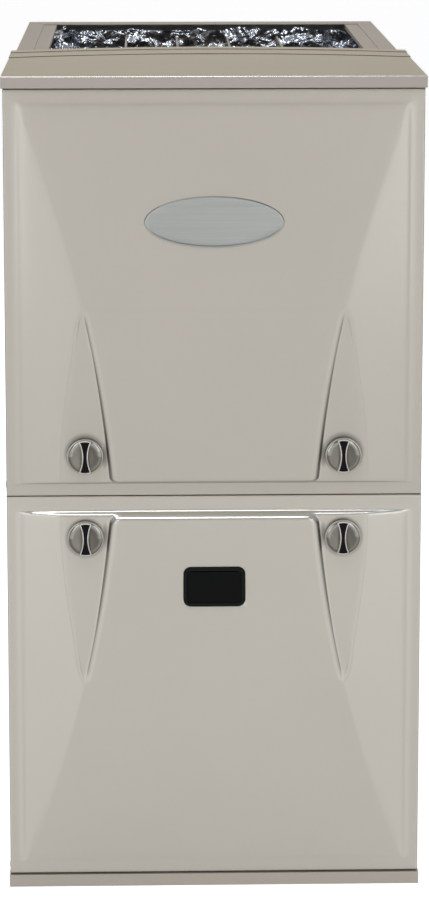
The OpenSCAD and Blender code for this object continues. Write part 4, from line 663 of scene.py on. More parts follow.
# the sight glass is opaque and nearly black: painted shade of the unlit inside behind it
moulded("sight_glass", linear(7, 10, 9), rough=(0.05, 0.09), grain=40.0, depth=0.01 * mm,
        Specular_IOR_Level=0.06)
moulded("window_rubber", linear(9, 12, 12), rough=(0.5, 0.62), grain=1100.0, Specular_IOR_Level=0.12)
moulded("black_plastic", linear(44, 46, 48))
moulded("black_rubber", linear(32, 32, 33), rough=(0.6, 0.75), grain=1300.0)
moulded("vent_plastic", linear(222, 220, 214), rough=(0.3, 0.4), grain=400.0)
moulded("white_plastic", linear(226, 224, 218), rough=(0.35, 0.45), grain=500.0)
moulded("black_enamel", linear(36, 37, 39), rough=(0.28, 0.4), grain=500.0, depth=0.08 * mm, Coat_Weight=0.3)
moulded("ceramic", linear(214, 206, 190), rough=(0.6, 0.75), grain=1600.0, depth=0.08 * mm)
circuit_board()
filter_paper()
print("finishes in all:", len(FINISH))

# %% [markdown]
# ## The doors
#
# Each door is one pressed sheet. From the seam a raised panel runs away from its partner, high at the seam and
# fading to a millimetre at the far edge. Facets slope from the panel to the flat rims, and beside the panel a
# fin shaped pocket gives the knob its place. A press rounds every crease, and those roundings carry the
# highlights, so the relief is a formula with soft corners: `soft_max` joins two heights with a small curve
# where they cross.

# %% Relief of a door as one formula
def soft_max(a, b, r):
    """The larger of two heights, rounded where they cross: (a + b + sqrt((a - b)^2 + r^2)) / 2."""
    return (a + b + np.sqrt((a - b) ** 2 + r ** 2)) / 2


def soft_min(a, b, r):
    """The smaller of two heights, rounded in the same way."""
    return -soft_max(-a, -b, r)


def panel_relief(t, field):
    """Height of the raised panel: a straight line from the seam to the far edge."""
    return RELIEF_NEAR + (RELIEF_FAR - RELIEF_NEAR) * np.clip(t, 0, field) / field


def crease_x(t):
    """Half width of the panel: a circle arc of radius R that starts with a small lean and turns outwards."""
    t = np.maximum(t, 0)
    reach = PANEL_HALF + CREASE_R * math.cos(CREASE_LEAN)
    return np.minimum(FIELD_HALF - 1.2 * mm,
                      reach - np.sqrt(CREASE_R ** 2 - (t + CREASE_R * math.sin(CREASE_LEAN)) ** 2))


def pocket_x(t):
    """Outer edge of the pocket: its width shrinks from the seam as 1 - (t / length)^1.55."""
    share = np.clip(t / POCKET_L, 0, 1)
    return crease_x(t) + np.maximum(0.8 * mm, POCKET_W * (1 - share ** 1.55))


def facet_relief(x, t, field):
    """Height of the side facet: straight across, from the panel's height at the crease to 1 mm at the rim."""
    across = (FIELD_HALF - x) / np.maximum(FIELD_HALF - crease_x(t), 0.4 * mm)
    return RELIEF_FAR + (panel_relief(t, field) - RELIEF_FAR) * across


def smooth_step(v):
    """0 below 0, 1 above 1, and 3 v^2 - 2 v^3 between."""
    v = np.clip(v, 0, 1)
    return v * v * (3 - 2 * v)


print("half width of the panel at the seam and at the pocket's tip, mm:",
      [round(float(crease_x(t)) / mm, 1) for t in (0, POCKET_L)])

# %% The whole relief
POCKET_DEEP = 1.4 * mm       # how far the pocket's floor stays under the panel
POCKET_FADE = 16 * mm        # over this length at its tip it comes up to the facet
POCKET_RISE = 0.5            # slope of the pocket's outer side
PANEL_CORNER = 7 * mm        # radius of the panel's corners at the seam
WALL_BEND = 1.5 * mm         # rounding of bevel and wall
FOOT_BEND = 0.7 * mm         # rounding at the wall's foot and along the pocket
CREASE_BEND = 0.25 * mm      # rounding of the plain crease
FIELD_SLOPE, FIELD_BEND = 0.45, 1.4 * mm   # the step from the field to the rim, and its rounding


def door_relief(x, t, door):
    """Whole relief at a distance x from the middle and t from the seam edge of the field.

    The facet is cut down to the pocket's floor. Both are cut by the bevel that climbs from the seam, and the
    panel stands on them with a 60 degree wall. Past the pocket's tip, panel and facet meet in a plain crease.
    The field ends in a low slope, and nothing lies under the rim.
    """
    field, climb = door["field"], door["bevel"] * t
    x = np.abs(x)
    plateau = panel_relief(t, field)
    facet = facet_relief(x, t, field)
    sunk = plateau - POCKET_DEEP * smooth_step((POCKET_L - t) / POCKET_FADE)
    floor = np.minimum(facet_relief(pocket_x(t), t, field), sunk)
    outer = floor + POCKET_RISE * np.maximum(x - pocket_x(t), 0)
    low = soft_min(soft_min(facet, outer, FOOT_BEND), climb, WALL_BEND)
    outside = x - crease_x(t) + PANEL_CORNER
    before = (plateau - climb) / WALL_SLOPE + PANEL_CORNER
    past = np.hypot(np.maximum(outside, 0), np.maximum(before, 0)) - PANEL_CORNER
    panel = plateau - WALL_SLOPE * soft_max(past, 0 * past, WALL_BEND)
    walled = soft_max(panel, low, FOOT_BEND)
    creased = soft_min(soft_min(plateau, facet, CREASE_BEND), climb, 2.6 * mm)
    height = walled + (creased - walled) * smooth_step((t - POCKET_L + 5 * mm) / (7 * mm))
    height = soft_min(height, FIELD_SLOPE * (FIELD_HALF + 2 * RELIEF_FAR - x), FIELD_BEND)
    height = soft_min(height, FIELD_SLOPE * (field + 2 * RELIEF_FAR - t), FIELD_BEND)
    return np.where(height > -3 * mm, soft_max(height, 0 * height, 1.0 * mm), 0.0)


for door in (UPPER, LOWER):
    print("relief at the middle of the panel, mm:",
          round(float(door_relief(np.array(0.0), np.array(door["field"] / 2), door)) / mm, 2))

# %% [markdown]
# ### From relief to a folded pan
#
# The grid's columns follow the creases, so that no quad straddles one. Past the flat rim the sheet bends back
# into an edge flange and then inwards into a return flange. Those folds are rings: every point of the grid's
# border moves outwards and back along one small quarter circle after another.

# %% Columns and rows that follow the creases
BEND = 1.0 * mm              # radius of the folds round the pan


def door_columns(t, field):
    """Column positions at a distance t: crowded between the middle, crease, wall foot, pocket edge and rim."""
    crease, pocket = crease_x(t), pocket_x(t)
    depth = panel_relief(t, field) - facet_relief(pocket, t, field)
    foot = np.minimum(crease + depth / WALL_SLOPE + 0.3 * mm, pocket - 0.3 * mm)
    knots = [0 * t, crease, foot, pocket, FIELD_HALF + 0 * t, FIELD_HALF + 2 * RELIEF_FAR + 0 * t,
             HALF_W - BEND + 0 * t]
    steps = [22, 8, 14, 20, 4, 5]
    half = [knots[0][:, None]]
    for a, b, n in zip(knots[:-1], knots[1:], steps):
        half.append(a[:, None] + (b - a)[:, None] * cosine_steps(n)[None, 1:])
    half = np.concatenate(half, axis=1)
    return np.concatenate([-half[:, :0:-1], half], axis=1)


def door_rows(door):
    """Row distances: even in the rims, crowded at the bevel, the pocket's tip and the far edge."""
    field, bevel = door["field"], RELIEF_NEAR / door["bevel"]
    knots = [-door["seam_rim"] + BEND, -1 * mm, bevel + 2 * mm, POCKET_L, field - 1 * mm, field + 2 * mm,
             field + RIM - BEND]
    steps = [5, 16, 46, 34, 5, 5]
    rows = [np.array(knots[:1])]
    for a, b, n in zip(knots[:-1], knots[1:], steps):
        rows.append(a + (b - a) * (cosine_steps(n)[1:] if n > 5 else np.linspace(0, 1, n + 1)[1:]))
    return np.concatenate(rows)


print("columns across the upper door:", door_columns(np.zeros(1), UPPER["field"]).shape[1])

# %% Fold the pan round its border
def border(points):
    """The grid's border points in order round it, and their outward directions in X and Z."""
    rows, cols = points.shape[:2]
    index = np.arange(rows * cols).reshape(rows, cols)
    ring = np.concatenate([index[0, :-1], index[:-1, -1], index[-1, :0:-1], index[:0:-1, 0]])
    i, j = ring // cols, ring % cols
    side = np.where(j == 0, -1, np.where(j == cols - 1, 1, 0))
    along = np.where(i == 0, -1, np.where(i == rows - 1, 1, 0))
    return ring, side, along


def door_pan(name, door, hole=None):
    """The embossed face and its folded flanges as one open sheet. A hole is (x, z, half width, half height)."""
    t = door_rows(door)
    x = door_columns(t, door["field"])
    t = np.broadcast_to(t[:, None], x.shape)
    y = FACE_Y - door_relief(x, t, door)
    z = door["seam"] + door["up"] * (t + door["seam_rim"])
    face = np.stack([x, y, z], axis=-1)
    faces = grid_faces(*x.shape)
    if hole is not None:
        flat = face.reshape(-1, 3)
        inside = ((np.abs(flat[:, 0] - hole[0]) < hole[2]) & (np.abs(flat[:, 2] - hole[1]) < hole[3]))
        faces = faces[~inside[faces].all(axis=1)]
    ring, side, along = border(face)
    turn = np.linspace(0, math.pi / 2, 5)[1:]
    out = np.concatenate([BEND * np.sin(turn), [BEND], BEND - BEND * (1 - np.cos(turn)), [BEND - DOOR_RETURN]])
    back = np.concatenate([BEND * (1 - np.cos(turn)), [DOOR_DEPTH - BEND],
                           DOOR_DEPTH - BEND + BEND * np.sin(turn), [DOOR_DEPTH]])
    start = face.reshape(-1, 3)[ring]
    start[:, 1] = FACE_Y
    rings = start[None] + np.stack([side[None] * out[:, None], back[:, None] + 0 * side[None],
                                    door["up"] * along[None] * out[:, None]], axis=-1)
    count = face.shape[0] * face.shape[1]
    m = len(ring)
    first = np.stack([ring, np.roll(ring, -1), count + (np.arange(m) + 1) % m, count + np.arange(m)], axis=-1)
    rest = grid_faces(len(out), m, wrap_cols=True, start=count)
    points = np.concatenate([face.reshape(-1, 3), rings.reshape(-1, 3)])
    return make_mesh(name, [(points, np.concatenate([faces, first, rest]).tolist())], sharp=50)


WINDOW = {"z": 338 * mm, "w": 66.6 * mm, "h": 44 * mm, "r": 8 * mm, "rim": 3 * mm}
hole = (0, WINDOW["z"], WINDOW["w"] / 2 - WINDOW["rim"], WINDOW["h"] / 2 - WINDOW["rim"])
pans = [piece(f"{word}_door_pan", door_pan(f"{word}_door_pan", door, cut), FINISH[f"{word}_door_paint"],
              f"{word}_door_assembly", [f"{word}_door"])
        for word, door, cut in (("upper", UPPER, None), ("lower", LOWER, hole))]

# %% [markdown]
# A sheet's normals must point out of the cabinet before it gets its thickness. On an open sheet Blender can't
# know which side is out, so the cell checks the middle of each panel and turns the mesh over if it looks back.

# %% Turn the pans to face out, and give them their wall
def face_forward(mesh):
    """Flips all faces when those on the front plane look along +Y on average, weighted by area."""
    count = len(mesh.polygons)
    normals, centers, areas = np.empty(count * 3), np.empty(count * 3), np.empty(count)
    mesh.polygons.foreach_get("normal", normals)
    mesh.polygons.foreach_get("center", centers)
    mesh.polygons.foreach_get("area", areas)
    front = centers.reshape(-1, 3)[:, 1] < FACE_Y + 0.2 * mm
    backwards = bool((normals.reshape(-1, 3)[front, 1] * areas[front]).sum() > 0)
    if backwards:
        mesh.flip_normals()
    return backwards


def thicken(obj, thickness):
    """Solidify inwards: the modelled face stays where it is, and the wall grows behind it."""
    solid = obj.modifiers.new("sheet", "SOLIDIFY")
    solid.thickness = thickness
    solid.offset = -1


for obj in pans:
    print(obj.name, "was turned over:", face_forward(obj.data))
    thicken(obj, DOOR_SHEET)

# %% [markdown]
# ## The turn knobs
#
# A knob is a low drum with a dished face and an upright grip, narrow in the middle, with a black inlay. The
# drum is a profile turned about its axis. The grip is a stack of outlines, each a little smaller and higher
# than the one below, which rounds its edge. Grip and inlay share one kind of outline: a circle's arc at each
# end and two big circles biting into the sides. An inset of the grip's outline would cross itself at the small
# corners, so the inlay has an outline of its own.

# %% Outline of the grip
SIDE_POINTS, CORNER_POINTS, END_POINTS = 45, 6, 11
OUTLINE_TOP = SIDE_POINTS + CORNER_POINTS + END_POINTS // 2   # the point in the middle of the top arc


def hourglass(reach, end, waist, round_r):
    """Closed outline with sides x = waist/2 + b - sqrt(b^2 - z^2), rounded corners and arcs as ends."""
    tip = math.sqrt(reach ** 2 - (end / 2) ** 2)
    b = (tip ** 2 + ((end - waist) / 2) ** 2) / (end - waist)
    z = np.linspace(-1, 1, SIDE_POINTS) * (tip - round_r)
    side = np.stack([waist / 2 + b - np.sqrt(b ** 2 - z ** 2), z], axis=-1)
    a = np.linspace(0, math.pi / 2, CORNER_POINTS + 1)[1:]
    corner = side[-1] + round_r * np.stack([np.cos(a) - 1, np.sin(a)], axis=-1)
    top_x = np.linspace(corner[-1, 0], -corner[-1, 0], END_POINTS + 2)[1:-1]
    top = np.stack([top_x, np.sqrt(reach ** 2 - top_x ** 2) + 0 * top_x], axis=-1)
    top[:, 1] += corner[-1, 1] - math.sqrt(reach ** 2 - corner[-1, 0] ** 2)
    half = np.concatenate([side, corner, top])
    left = np.concatenate([corner[::-1] * [-1, 1], side[::-1] * [-1, 1]])
    bottom = np.concatenate([corner * [-1, -1], top[::-1] * [1, -1], corner[::-1] * [1, -1]])
    return np.concatenate([half, left, bottom])


def inset(outline, amount):
    """The outline moved inwards by an amount along its own normals, from neighbouring points."""
    tangent = np.roll(outline, -1, axis=0) - np.roll(outline, 1, axis=0)
    tangent /= np.linalg.norm(tangent, axis=1, keepdims=True)
    normal = np.stack([tangent[:, 1], -tangent[:, 0]], axis=-1)
    return outline - normal * amount


BORDER = 1.35 * mm           # the pale border left round the inlay
grip_reach = KNOB["r"] - 0.5 * mm
grip_outline = hourglass(grip_reach, KNOB["end"], KNOB["waist"], 1.6 * mm)
inlay_outline = hourglass(grip_reach - BORDER, KNOB["end"] - 2 * BORDER, KNOB["waist"] - 2 * BORDER, 0.9 * mm)
print("outline points:", len(grip_outline), "height, mm:", round(float(np.ptp(grip_outline[:, 1])) / mm, 1))

# %% Turned and stacked solids
def turned(profile, center, n=96):
    """A profile of (radius, y) points turned about the Y axis through center: rings of n points, capped."""
    a = np.linspace(0, 2 * math.pi, n, endpoint=False)
    r, y = np.array(profile).T
    r, y = r[:, None], y[:, None]
    return loft(np.stack([center[0] + r * np.cos(a), y + 0 * a, center[1] + r * np.sin(a)], axis=-1))


def stacked(outline, levels, center, top=None):
    """Outlines at (inset, y) levels, one on the other, as a closed solid.

    A waisted outline also gives the number of its top point. Each cap is then a row of strips, and a strip runs
    from a point to its mirror image, which keeps the caps out of the waist.
    """
    rings = []
    for amount, y in levels:
        flat = inset(outline, amount) if amount else outline
        x, z = (flat + center).T
        rings.append(np.stack([x, np.full(len(flat), y), z], axis=-1))
    points, faces = loft(np.array(rings), capped=top is None)
    if top is not None:
        n = len(outline)
        right = (top - np.arange(n // 2 + 1)) % n
        left = (2 * top - right) % n
        strips = np.stack([right[:-1], right[1:], left[1:], left[:-1]], axis=-1).tolist()
        strips = [tuple(dict.fromkeys(strip)) for strip in strips]
        faces += strips + [tuple(v + n * (len(rings) - 1) for v in strip) for strip in strips]
    return points, faces


def rounded_edge(y, radius, steps=4):
    """Levels of a quarter round from an upright wall to a flat top: inset r(1 - cos), forwards r sin."""
    a = np.linspace(0, math.pi / 2, steps + 1)[1:]
    return [(radius * (1 - math.cos(v)), y - radius * math.sin(v)) for v in a]


trial = stacked(grip_outline, [(0, 0), (0, -1 * mm)], (0, 0), OUTLINE_TOP)
print("a waisted slab has points and faces:", [len(v) for v in trial])

# %% Profiles of a knob
# The drum's face as (radius, depth behind the rim), mm: a rounded rim, a groove, a soft ring and the dish.
DRUM_FACE = [(19.25, 0.3), (19.1, 0.08), (18.8, 0), (18.2, 0.05), (17.95, 0.4), (17.75, 1.0), (17.4, 1.3),
             (16.9, 1.17), (16.4, 1.03), (15.9, 0.93), (15.4, 0.88), (14.9, 0.9), (14.2, 1.0), (13.2, 1.3),
             (11.5, 1.9), (9, 2.5), (6, 2.9), (0.3, 3.1)]
r, s, back, front, head_y = (KNOB[key] for key in ("r", "shaft", "back", "front", "head_y"))
drum_profile = [(0.3 * mm, head_y), (s, head_y), (s, back), (r - 0.6 * mm, back),
                (r - 0.2 * mm, back - 0.15 * mm), (r, back - 0.6 * mm), (r, KNOB_RIM_Y + 0.8 * mm)]
drum_profile += [(radius * mm, KNOB_RIM_Y + sunk * mm) for radius, sunk in DRUM_FACE]

# Levels as (inset, y). The grip's border ends in a small step down to where the inlay lies.
grip_levels = [(0, KNOB_RIM_Y + 3.4 * mm), (0, front + 1.2 * mm), *rounded_edge(front + 0.6 * mm, 0.5 * mm),
               (1.2 * mm, front + 0.1 * mm), (1.3 * mm, front + 0.45 * mm), (1.45 * mm, front + 0.5 * mm)]
inlay_levels = [(0, front + 0.5 * mm), (0, front + 0.35 * mm), (0.15 * mm, front + 0.24 * mm),
                (0.7 * mm, front + 0.2 * mm)]
head_levels = [(0.5 * mm, head_y), (0, head_y + 0.5 * mm), (0, head_y + KNOB["head_t"] - 0.5 * mm),
               (0.5 * mm, head_y + KNOB["head_t"])]
print("points in the drum's profile:", len(drum_profile))

# %% Knobs, inlays and their latches
def latch_head():
    """Outline of the latch head: a circle of radius r whose quarters are pushed out to the head's corners."""
    a = np.linspace(0, 2 * math.pi, 48, endpoint=False)
    circle = np.stack([np.cos(a), np.sin(a)], axis=-1)
    return np.sign(circle) * (np.array(KNOB["head"]) - KNOB["head_r"]) + KNOB["head_r"] * circle


for word, side in (("left", -1), ("right", 1)):
    for level, z in zip(("upper", "lower"), KNOB["z"]):
        center, where = (side * KNOB["x"], z), f"{level}_{word}"
        knob = [turned(drum_profile, center), stacked(grip_outline, grip_levels, center, OUTLINE_TOP),
                stacked(latch_head(), head_levels, center)]
        inlay = [stacked(inlay_outline, inlay_levels, center, OUTLINE_TOP)]
        for name, node, parts, finish, slot in (
                (f"turn_knob_{where}", f"knob_{where}", knob, "knob_plastic", "knob_grey"),
                (f"grip_inlay_{where}", f"inlay_{where}", inlay, "inlay_black", "inlay_black")):
            piece(name, make_mesh(name, parts, sharp=40), FINISH[finish], f"{where}_latch", [node])

# %% [markdown]
# ## Oval plate and sight window
#
# Both lie on the leaning panel, so they are made flat first and then laid on the slope: a point's distance from
# the wall is its own height plus the panel's height at that level. The plate is a set of ellipses from its edge
# to its middle, with a raised border. The window is a rubber frame with a sheet of dark glass. Each row below
# gives an outline's inset and its height over the panel.

# %% Flat outlines, and how they are laid on the panel
PLATE = {"w": 148 * mm, "h": 55 * mm, "z": 734 * mm}


def rounded_box(w, h, r, n=10):
    """Closed outline of a rectangle with four quarter rounds."""
    a = np.linspace(0, math.pi / 2, n)
    arc = np.stack([np.cos(a), np.sin(a)], axis=-1) * r
    spin = [np.array([[c, -s], [s, c]]) for c, s in ((1, 0), (0, 1), (-1, 0), (0, -1))]
    x, z = w / 2 - r, h / 2 - r
    corners = [(x, z), (-x, z), (-x, -z), (x, -z)]
    return np.concatenate([arc @ m.T + np.array(c) for m, c in zip(spin, corners)])


def on_panel(door, flat, heights, z_mid):
    """Rings (k, m, 2) with heights (k,) laid on the panel: y is the face less relief less height."""
    x, z = flat[..., 0], z_mid + flat[..., 1]
    t = door["up"] * (z - door["seam"]) - door["seam_rim"]
    y = FACE_Y - panel_relief(t, door["field"]) - np.asarray(heights)[:, None]
    return np.stack([x, y + 0 * x, z], axis=-1)


def ovals(w, h, insets, n=160):
    """Ellipses (k, n, 2), each inset from the one of width w and height h."""
    a = np.linspace(0, 2 * math.pi, n, endpoint=False)
    k = np.asarray(insets)[:, None]
    return np.stack([(w / 2 - k) * np.cos(a), (h / 2 - k) * np.sin(a)], axis=-1)


plate_y = float(on_panel(UPPER, np.zeros((1, 1, 2)), [0], PLATE["z"])[0, 0, 1])
print("the panel stands out behind the plate, mm:", round((FACE_Y - plate_y) / mm, 2))

# %% Oval plate
PLATE_ROWS = [(0.1, 0), (0, 0.05), (0, 0.7), (0.15, 1.1), (0.5, 1.45), (1.3, 1.6), (1.9, 1.5), (2.3, 1.22),
              (3.2, 1.15), (10, 1.2), (24, 1.22)]
plate_insets, plate_heights = np.array(PLATE_ROWS).T * mm
plate_rings = on_panel(UPPER, ovals(PLATE["w"], PLATE["h"], plate_insets), plate_heights, PLATE["z"])
piece("oval_plate", make_mesh("oval_plate", [loft(plate_rings)], sharp=60), FINISH["plate"],
      "upper_door_assembly", ["badge_plate"])

# %% Window frame and glass
SEAL_ROWS = [(0.1, 0), (0, 0.1), (0, 1.1), (0.3, 1.6), (0.8, 1.8), (2.2, 1.8), (3.0, 1.7), (3.6, 1.5),
             (4.3, 1.2), (4.4, 0.9), (4.4, -4.9), (3.3, -4.9), (3.3, -0.9), (2.9, -0.6), (0.1, 0)]
GLASS_ROWS = [(4.7, -2), (4.45, -1.9), (4.45, 0.75), (4.7, 0.95), (6, 1.0), (14, 1.05)]


def window_rings(rows):
    """The window's outline at each row's inset and height, in mm, laid on the lower panel."""
    flat = [rounded_box(WINDOW["w"] - 2 * cut, WINDOW["h"] - 2 * cut, max(WINDOW["r"] - cut, 1.5 * mm))
            for cut in np.array(rows)[:, 0] * mm]
    return on_panel(LOWER, np.array(flat), np.array(rows)[:, 1] * mm, WINDOW["z"])


seal_rings = window_rings(SEAL_ROWS)
seal_faces = grid_faces(*seal_rings.shape[:2], wrap_rows=True, wrap_cols=True)
seal_part = (seal_rings.reshape(-1, 3), seal_faces.tolist())
for name, solid, finish, node, slot in (
        ("window_seal", seal_part, "window_rubber", "window_frame", "black_rubber"),
        ("window_glass", loft(window_rings(GLASS_ROWS)), "sight_glass", "sight_window", "window_glass")):
    piece(name, make_mesh(name, [solid], sharp=50), FINISH[finish], "lower_door_assembly", [node])

# %% [markdown]
# ## Foil faced insulation
#
# Inside the warm air outlet the walls carry glass wool behind crumpled foil. Crumpled foil is made of flat
# patches that meet in straight creases. A triangle wave has flat slopes and sharp folds, so a sum of triangle
# waves in many directions, each bent a little by a slow wave, gives patches and creases of every size.

# %% Crumple as a sum of folded waves
FOLD_SIZES = (70, 46, 46, 31, 31, 22, 22, 16, 16, 11)   # wave lengths, mm
SWAY = 0.35                                             # how far slow sines bend the waves
SWAY_U, SWAY_V = 110 * mm, 83 * mm                      # and their lengths
FOIL_DEPTH = 9 * mm                                     # how deep the folds are


def crumple(u, v, seed, depth):
    """Height from 0 to depth: triangle waves in random directions, bent by slow sines, weighted by length."""
    rng = np.random.default_rng(seed)
    total = 0 * u
    for size in FOLD_SIZES:
        angle, phase = rng.uniform(0, math.pi), rng.uniform(0, 1, 3)
        bend = np.sin(2 * math.pi * (u / SWAY_U + phase[1])) + np.sin(2 * math.pi * (v / SWAY_V + phase[2]))
        s = (u * math.cos(angle) + v * math.sin(angle)) / (size * mm) + SWAY * bend + phase[0]
        total += size * np.abs(2 * (s - np.floor(s + 0.5)))
    return depth * (total - total.min()) / np.ptp(total)


example = crumple(*np.meshgrid(np.linspace(0, 0.3, 60), np.linspace(0, 0.2, 40)), 3, FOIL_DEPTH)
print("mean height of a crumpled patch, mm:", round(float(example.mean()) / mm, 1))

# %% Pads of glass wool behind foil
RUN_POINTS, UP_POINTS = 220, 120
FOIL_SUNK = 7 * mm           # how far their bottoms lie behind the CAD pad's face
FOIL_FADE = 6 * mm           # the folds fade to nothing over this distance from the pad's edges


def insulation_pad(word, across, side, seed):
    """A pad between its CAD node's corners: each level is a ring, crumpled on the side that faces the air."""
    low, high = (np.array(c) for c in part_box(f"insulation_{word}"))
    along = 1 - across
    s = low[along] + (high[along] - low[along]) * np.linspace(0, 1, RUN_POINTS)
    z = low[2] + (high[2] - low[2]) * np.linspace(0, 1, UP_POINTS)
    zz, ss = np.meshgrid(z, s, indexing="ij")
    edge = np.minimum(np.minimum(ss - s[0], s[-1] - ss), z[-1] - zz)
    swell = crumple(ss, zz, seed, FOIL_DEPTH) * np.clip(edge / FOIL_FADE, 0, 1)
    wall = high[across] if side > 0 else low[across]
    levels = np.zeros((UP_POINTS, RUN_POINTS + 2, 3))
    levels[:, :RUN_POINTS, along] = ss
    levels[:, :RUN_POINTS, across] = wall - side * (high[across] - low[across] - FOIL_SUNK + swell)
    levels[:, RUN_POINTS:, along] = s[[-1, 0]]
    levels[:, RUN_POINTS:, across] = wall
    levels[..., 2] = z[:, None]
    mesh = make_mesh(f"foil_{word}", [loft(levels)], sharp=25)
    piece(f"foil_{word}", mesh, FINISH["foil"], "casing", [f"insulation_{word}"])


for word, across, side, seed in (("left", 0, -1, 3), ("right", 0, 1, 11), ("back", 1, 1, 23)):
    insulation_pad(word, across, side, seed)

# %% [markdown]
# ## Folded sheet with softened edges
#
# The casing, the stepped top, the base lip and the outlet rails come from CAD with knife edges. Real sheet
# bends over a radius, and that thin line of light round each edge is what makes sheet metal look folded. A copy
# of the CAD mesh is merged, its flat faces are joined again, and a Bevel modifier rounds what is left.

# %% Softened copies of CAD sheet
def softened(node, finish, width):
    """A merged copy of a casing node with its edges rounded by a Bevel modifier."""
    name = node + "_folded"
    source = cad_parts[node]
    bm = bmesh.new()
    bm.from_mesh(source.data)
    bmesh.ops.remove_doubles(bm, verts=bm.verts, dist=2e-6)
    bmesh.ops.dissolve_limit(bm, angle_limit=math.radians(0.5), verts=bm.verts, edges=bm.edges)
    mesh = bpy.data.meshes.new(name)
    bm.to_mesh(mesh)
    bm.free()
    mesh.shade_smooth()
    mesh.set_sharp_from_angle(angle=math.radians(35))
    bevel = piece(name, mesh, FINISH[finish], "casing", [node]).modifiers.new("fold", "BEVEL")
    bevel.width = width
    bevel.segments = 3
    bevel.limit_method = "ANGLE"
    bevel.angle_limit = math.radians(40)
    bevel.harden_normals = True


for node, finish, width, slot in (("top_front_panel", "trim_paint", 3.4 * mm, "trim_paint"),
                                  ("outlet_front_flange", "step_paint", 0.15 * mm, "trim_paint"),
                                  ("outlet_rail_left", "case_paint", 0.4 * mm, "trim_paint"),
                                  ("outlet_rail_right", "case_paint", 0.4 * mm, "trim_paint"),
                                  ("casing_wrapper", "case_paint", 0.4 * mm, "beige_paint"),
                                  ("base_pan", "lip_paint", 0.4 * mm, "beige_paint")):
    softened(node, finish, width)

# %% [markdown]
# ## Finishes for the CAD parts that stay
#
# Most inner parts are already the right shape. They only need their finish, which goes into the material slot
# of the CAD object. The table below gives each finish the nodes that wear it, and the cell checks that no
# shown node is left bare.

# %% Dress the remaining nodes
DRESS = {
    "zinc": ["latch_rail", "blower_deck", "vestibule_panel", "coupling_box", "blower_housing", "control_box",
             "junction_box", "motor_mount"],
    "zinc_dark": ["burner_box", "burners"],
    "wheel_zinc": ["blower_wheel", "inducer_wheel"],
    "heated_steel": [f"heat_exchanger_cell_{i}" for i in range(1, 5)],
    "coil_fins": ["secondary_coil"],
    "black_plastic": ["collector_box", "inducer_housing", "pressure_switch", "condensate_trap",
                      "gas_valve_switch", "door_switch"],
    "black_rubber": ["pressure_hose", "drain_hose"],
    "black_enamel": ["gas_manifold", "blower_motor", "inducer_motor"],
    "cast_alloy": ["gas_valve"],
    "turned_steel": ["blower_shaft"],
    "ceramic": ["hot_surface_igniter", "flame_sensor"],
    "vent_plastic": ["vent_elbow"],
    "circuit_board": ["control_board"],
    "laminations": ["transformer"],
    "white_plastic": ["door_switch_plunger"],
    "filter_paper": ["air_filter"],
    "screw_head": ["casing_screws"],
}
for finish, nodes in DRESS.items():
    for node in nodes:
        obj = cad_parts[node]
        if obj.data.materials:
            obj.data.materials[0] = FINISH[finish]
        else:
            obj.data.materials.append(FINISH[finish])
bare = [n for n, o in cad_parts.items() if not o.hide_render
        and not any(m in FINISH.values() for m in o.data.materials if m)]
print("nodes dressed:", sum(len(v) for v in DRESS.values()), "bare:", bare)

# %% [markdown]
# ## Studio
#
# The photograph is a cut-out on white, lit softly from both sides and from above. The floor and the world are
# white only to camera, mirror and glass rays, so they don't flood the furnace with light. Two side lamps model
# the facets. A lamp overhead in front draws the bright lines along the lower door's bevel, and two lamps high
# above light the top and sparkle in the foil. Two more stand behind the furnace, so that its sides and back
# look like the same paint as the doors when the furnace is turned.
# The bright lines along the bevel also carry a painted highlight, and the leaning facets painted light.

# %% Floor and world
def ray_mask(tree):
    """1 for camera, glossy and transmission rays, from the Light Path node."""
    path = add(tree, "ShaderNodeLightPath")
    both = maths(tree, "MAXIMUM", path.outputs["Is Camera Ray"], path.outputs["Is Glossy Ray"])
    return maths(tree, "MAXIMUM", both, path.outputs["Is Transmission Ray"])


def studio_floor(half, grey, glow):
    """A wide matt floor that still takes the furnace's shadow, with a glow for camera and mirrors."""
    points = [(-half, -half, 0), (half, -half, 0), (half, half, 0), (-half, half, 0)]
    mesh = bpy.data.meshes.new("floor")
    mesh.from_pydata(points, [], [(0, 1, 2, 3)])
    obj = bpy.data.objects.new("floor", mesh)
    bpy.context.scene.collection.objects.link(obj)
    tree, shader = principled("floor", (grey, grey, grey, 1), Roughness=0.9)
    shader.inputs["Emission Color"].default_value = (1, 1, 1, 1)
    tree.links.new(maths(tree, "MULTIPLY", ray_mask(tree), glow), shader.inputs["Emission Strength"])
    obj.data.materials.append(FINISH["floor"])


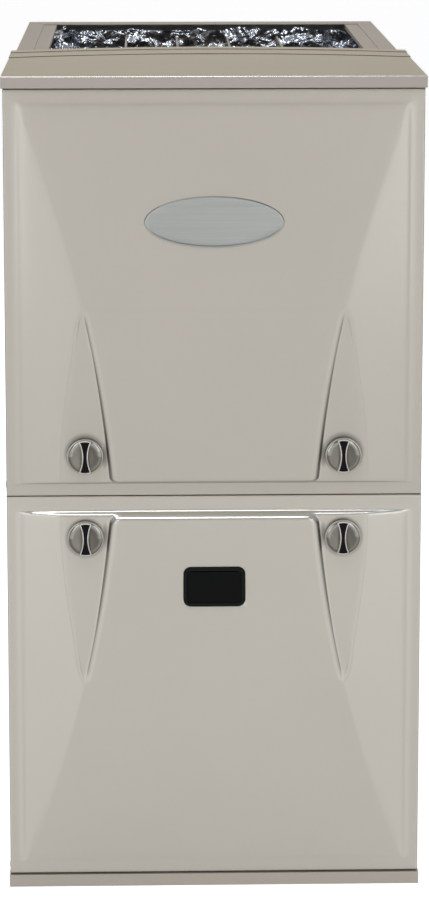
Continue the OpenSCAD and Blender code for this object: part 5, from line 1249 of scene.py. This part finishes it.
def studio_world(fill, room):
    """World: an even fill for matt light, white for the camera, and a white backdrop in a dim room for mirrors.

    For mirrors the level is room + (1 - room) * a ramp over the direction's Y, which points to the backdrop.
    """
    world = bpy.data.worlds.new("studio")
    world.use_nodes = True
    bpy.context.scene.world = world
    tree = world.node_tree
    back = tree.nodes["Background"]
    back.inputs["Color"].default_value = (1, 1, 1, 1)
    heading = part(tree, add(tree, "ShaderNodeTexCoord").outputs["Generated"], "Y")
    camera_ray = add(tree, "ShaderNodeLightPath").outputs["Is Camera Ray"]
    seen = maths(tree, "MAXIMUM", ramp(tree, heading, 0.55, 0.9, room, 1.0), camera_ray)
    level = add(tree, "ShaderNodeMix", {0: ray_mask(tree), 2: fill, 3: seen}).outputs[0]
    tree.links.new(level, back.inputs["Strength"])


studio_floor(half=14.0, grey=0.82, glow=0.8)
studio_world(fill=0.2, room=0.22)
print("world:", bpy.context.scene.world.name)

# %% Lamps: name, place, aim, size in metres, watts
LAMPS = [("left_lamp", (-1.2, -4.1, 0.8), (0, -0.3, 0.42), (0.8, 2.2), 24),
         ("right_lamp", (1.2, -4.1, 0.8), (0, -0.3, 0.42), (0.8, 2.2), 24),
         ("top_lamp", (-0.45, -1.5, 2.6), (-0.2, -0.5, 0.5), (1.6, 1.0), 17),
         ("sky_lamp", (0.1, 0.4, 2.9), (0, 0, 0.9), (1.4, 1.2), 8),
         ("outlet_lamp", (0.08, 0.2, 1.55), (0, 0.45, 0.8), (0.7, 0.4), 0.9),
         ("back_left_lamp", (-2.2, 2.2, 0.7), (0, 0.45, 0.45), (1.4, 1.0), 36),
         ("back_right_lamp", (2.2, 2.2, 0.7), (0, 0.45, 0.45), (1.4, 1.0), 36)]


def area_lamp(name, place, aim, size, watts):
    """A rectangular lamp at a place, turned to look at a point, unseen by the camera."""
    data = bpy.data.lights.new(name, "AREA")
    data.shape = "RECTANGLE"
    data.size, data.size_y = size
    data.energy = watts
    obj = bpy.data.objects.new(name, data)
    ahead = np.array(aim, float) - np.array(place, float)
    ahead /= np.linalg.norm(ahead)
    right = np.cross(ahead, [0, 0, 1])
    right /= np.linalg.norm(right)
    up = np.cross(right, ahead)
    obj.matrix_world = standing(right, up, ahead, place)
    obj.visible_camera = False
    bpy.context.scene.collection.objects.link(obj)


for lamp in LAMPS:
    area_lamp(*lamp)
bpy.context.scene.view_settings.view_transform = "Standard"
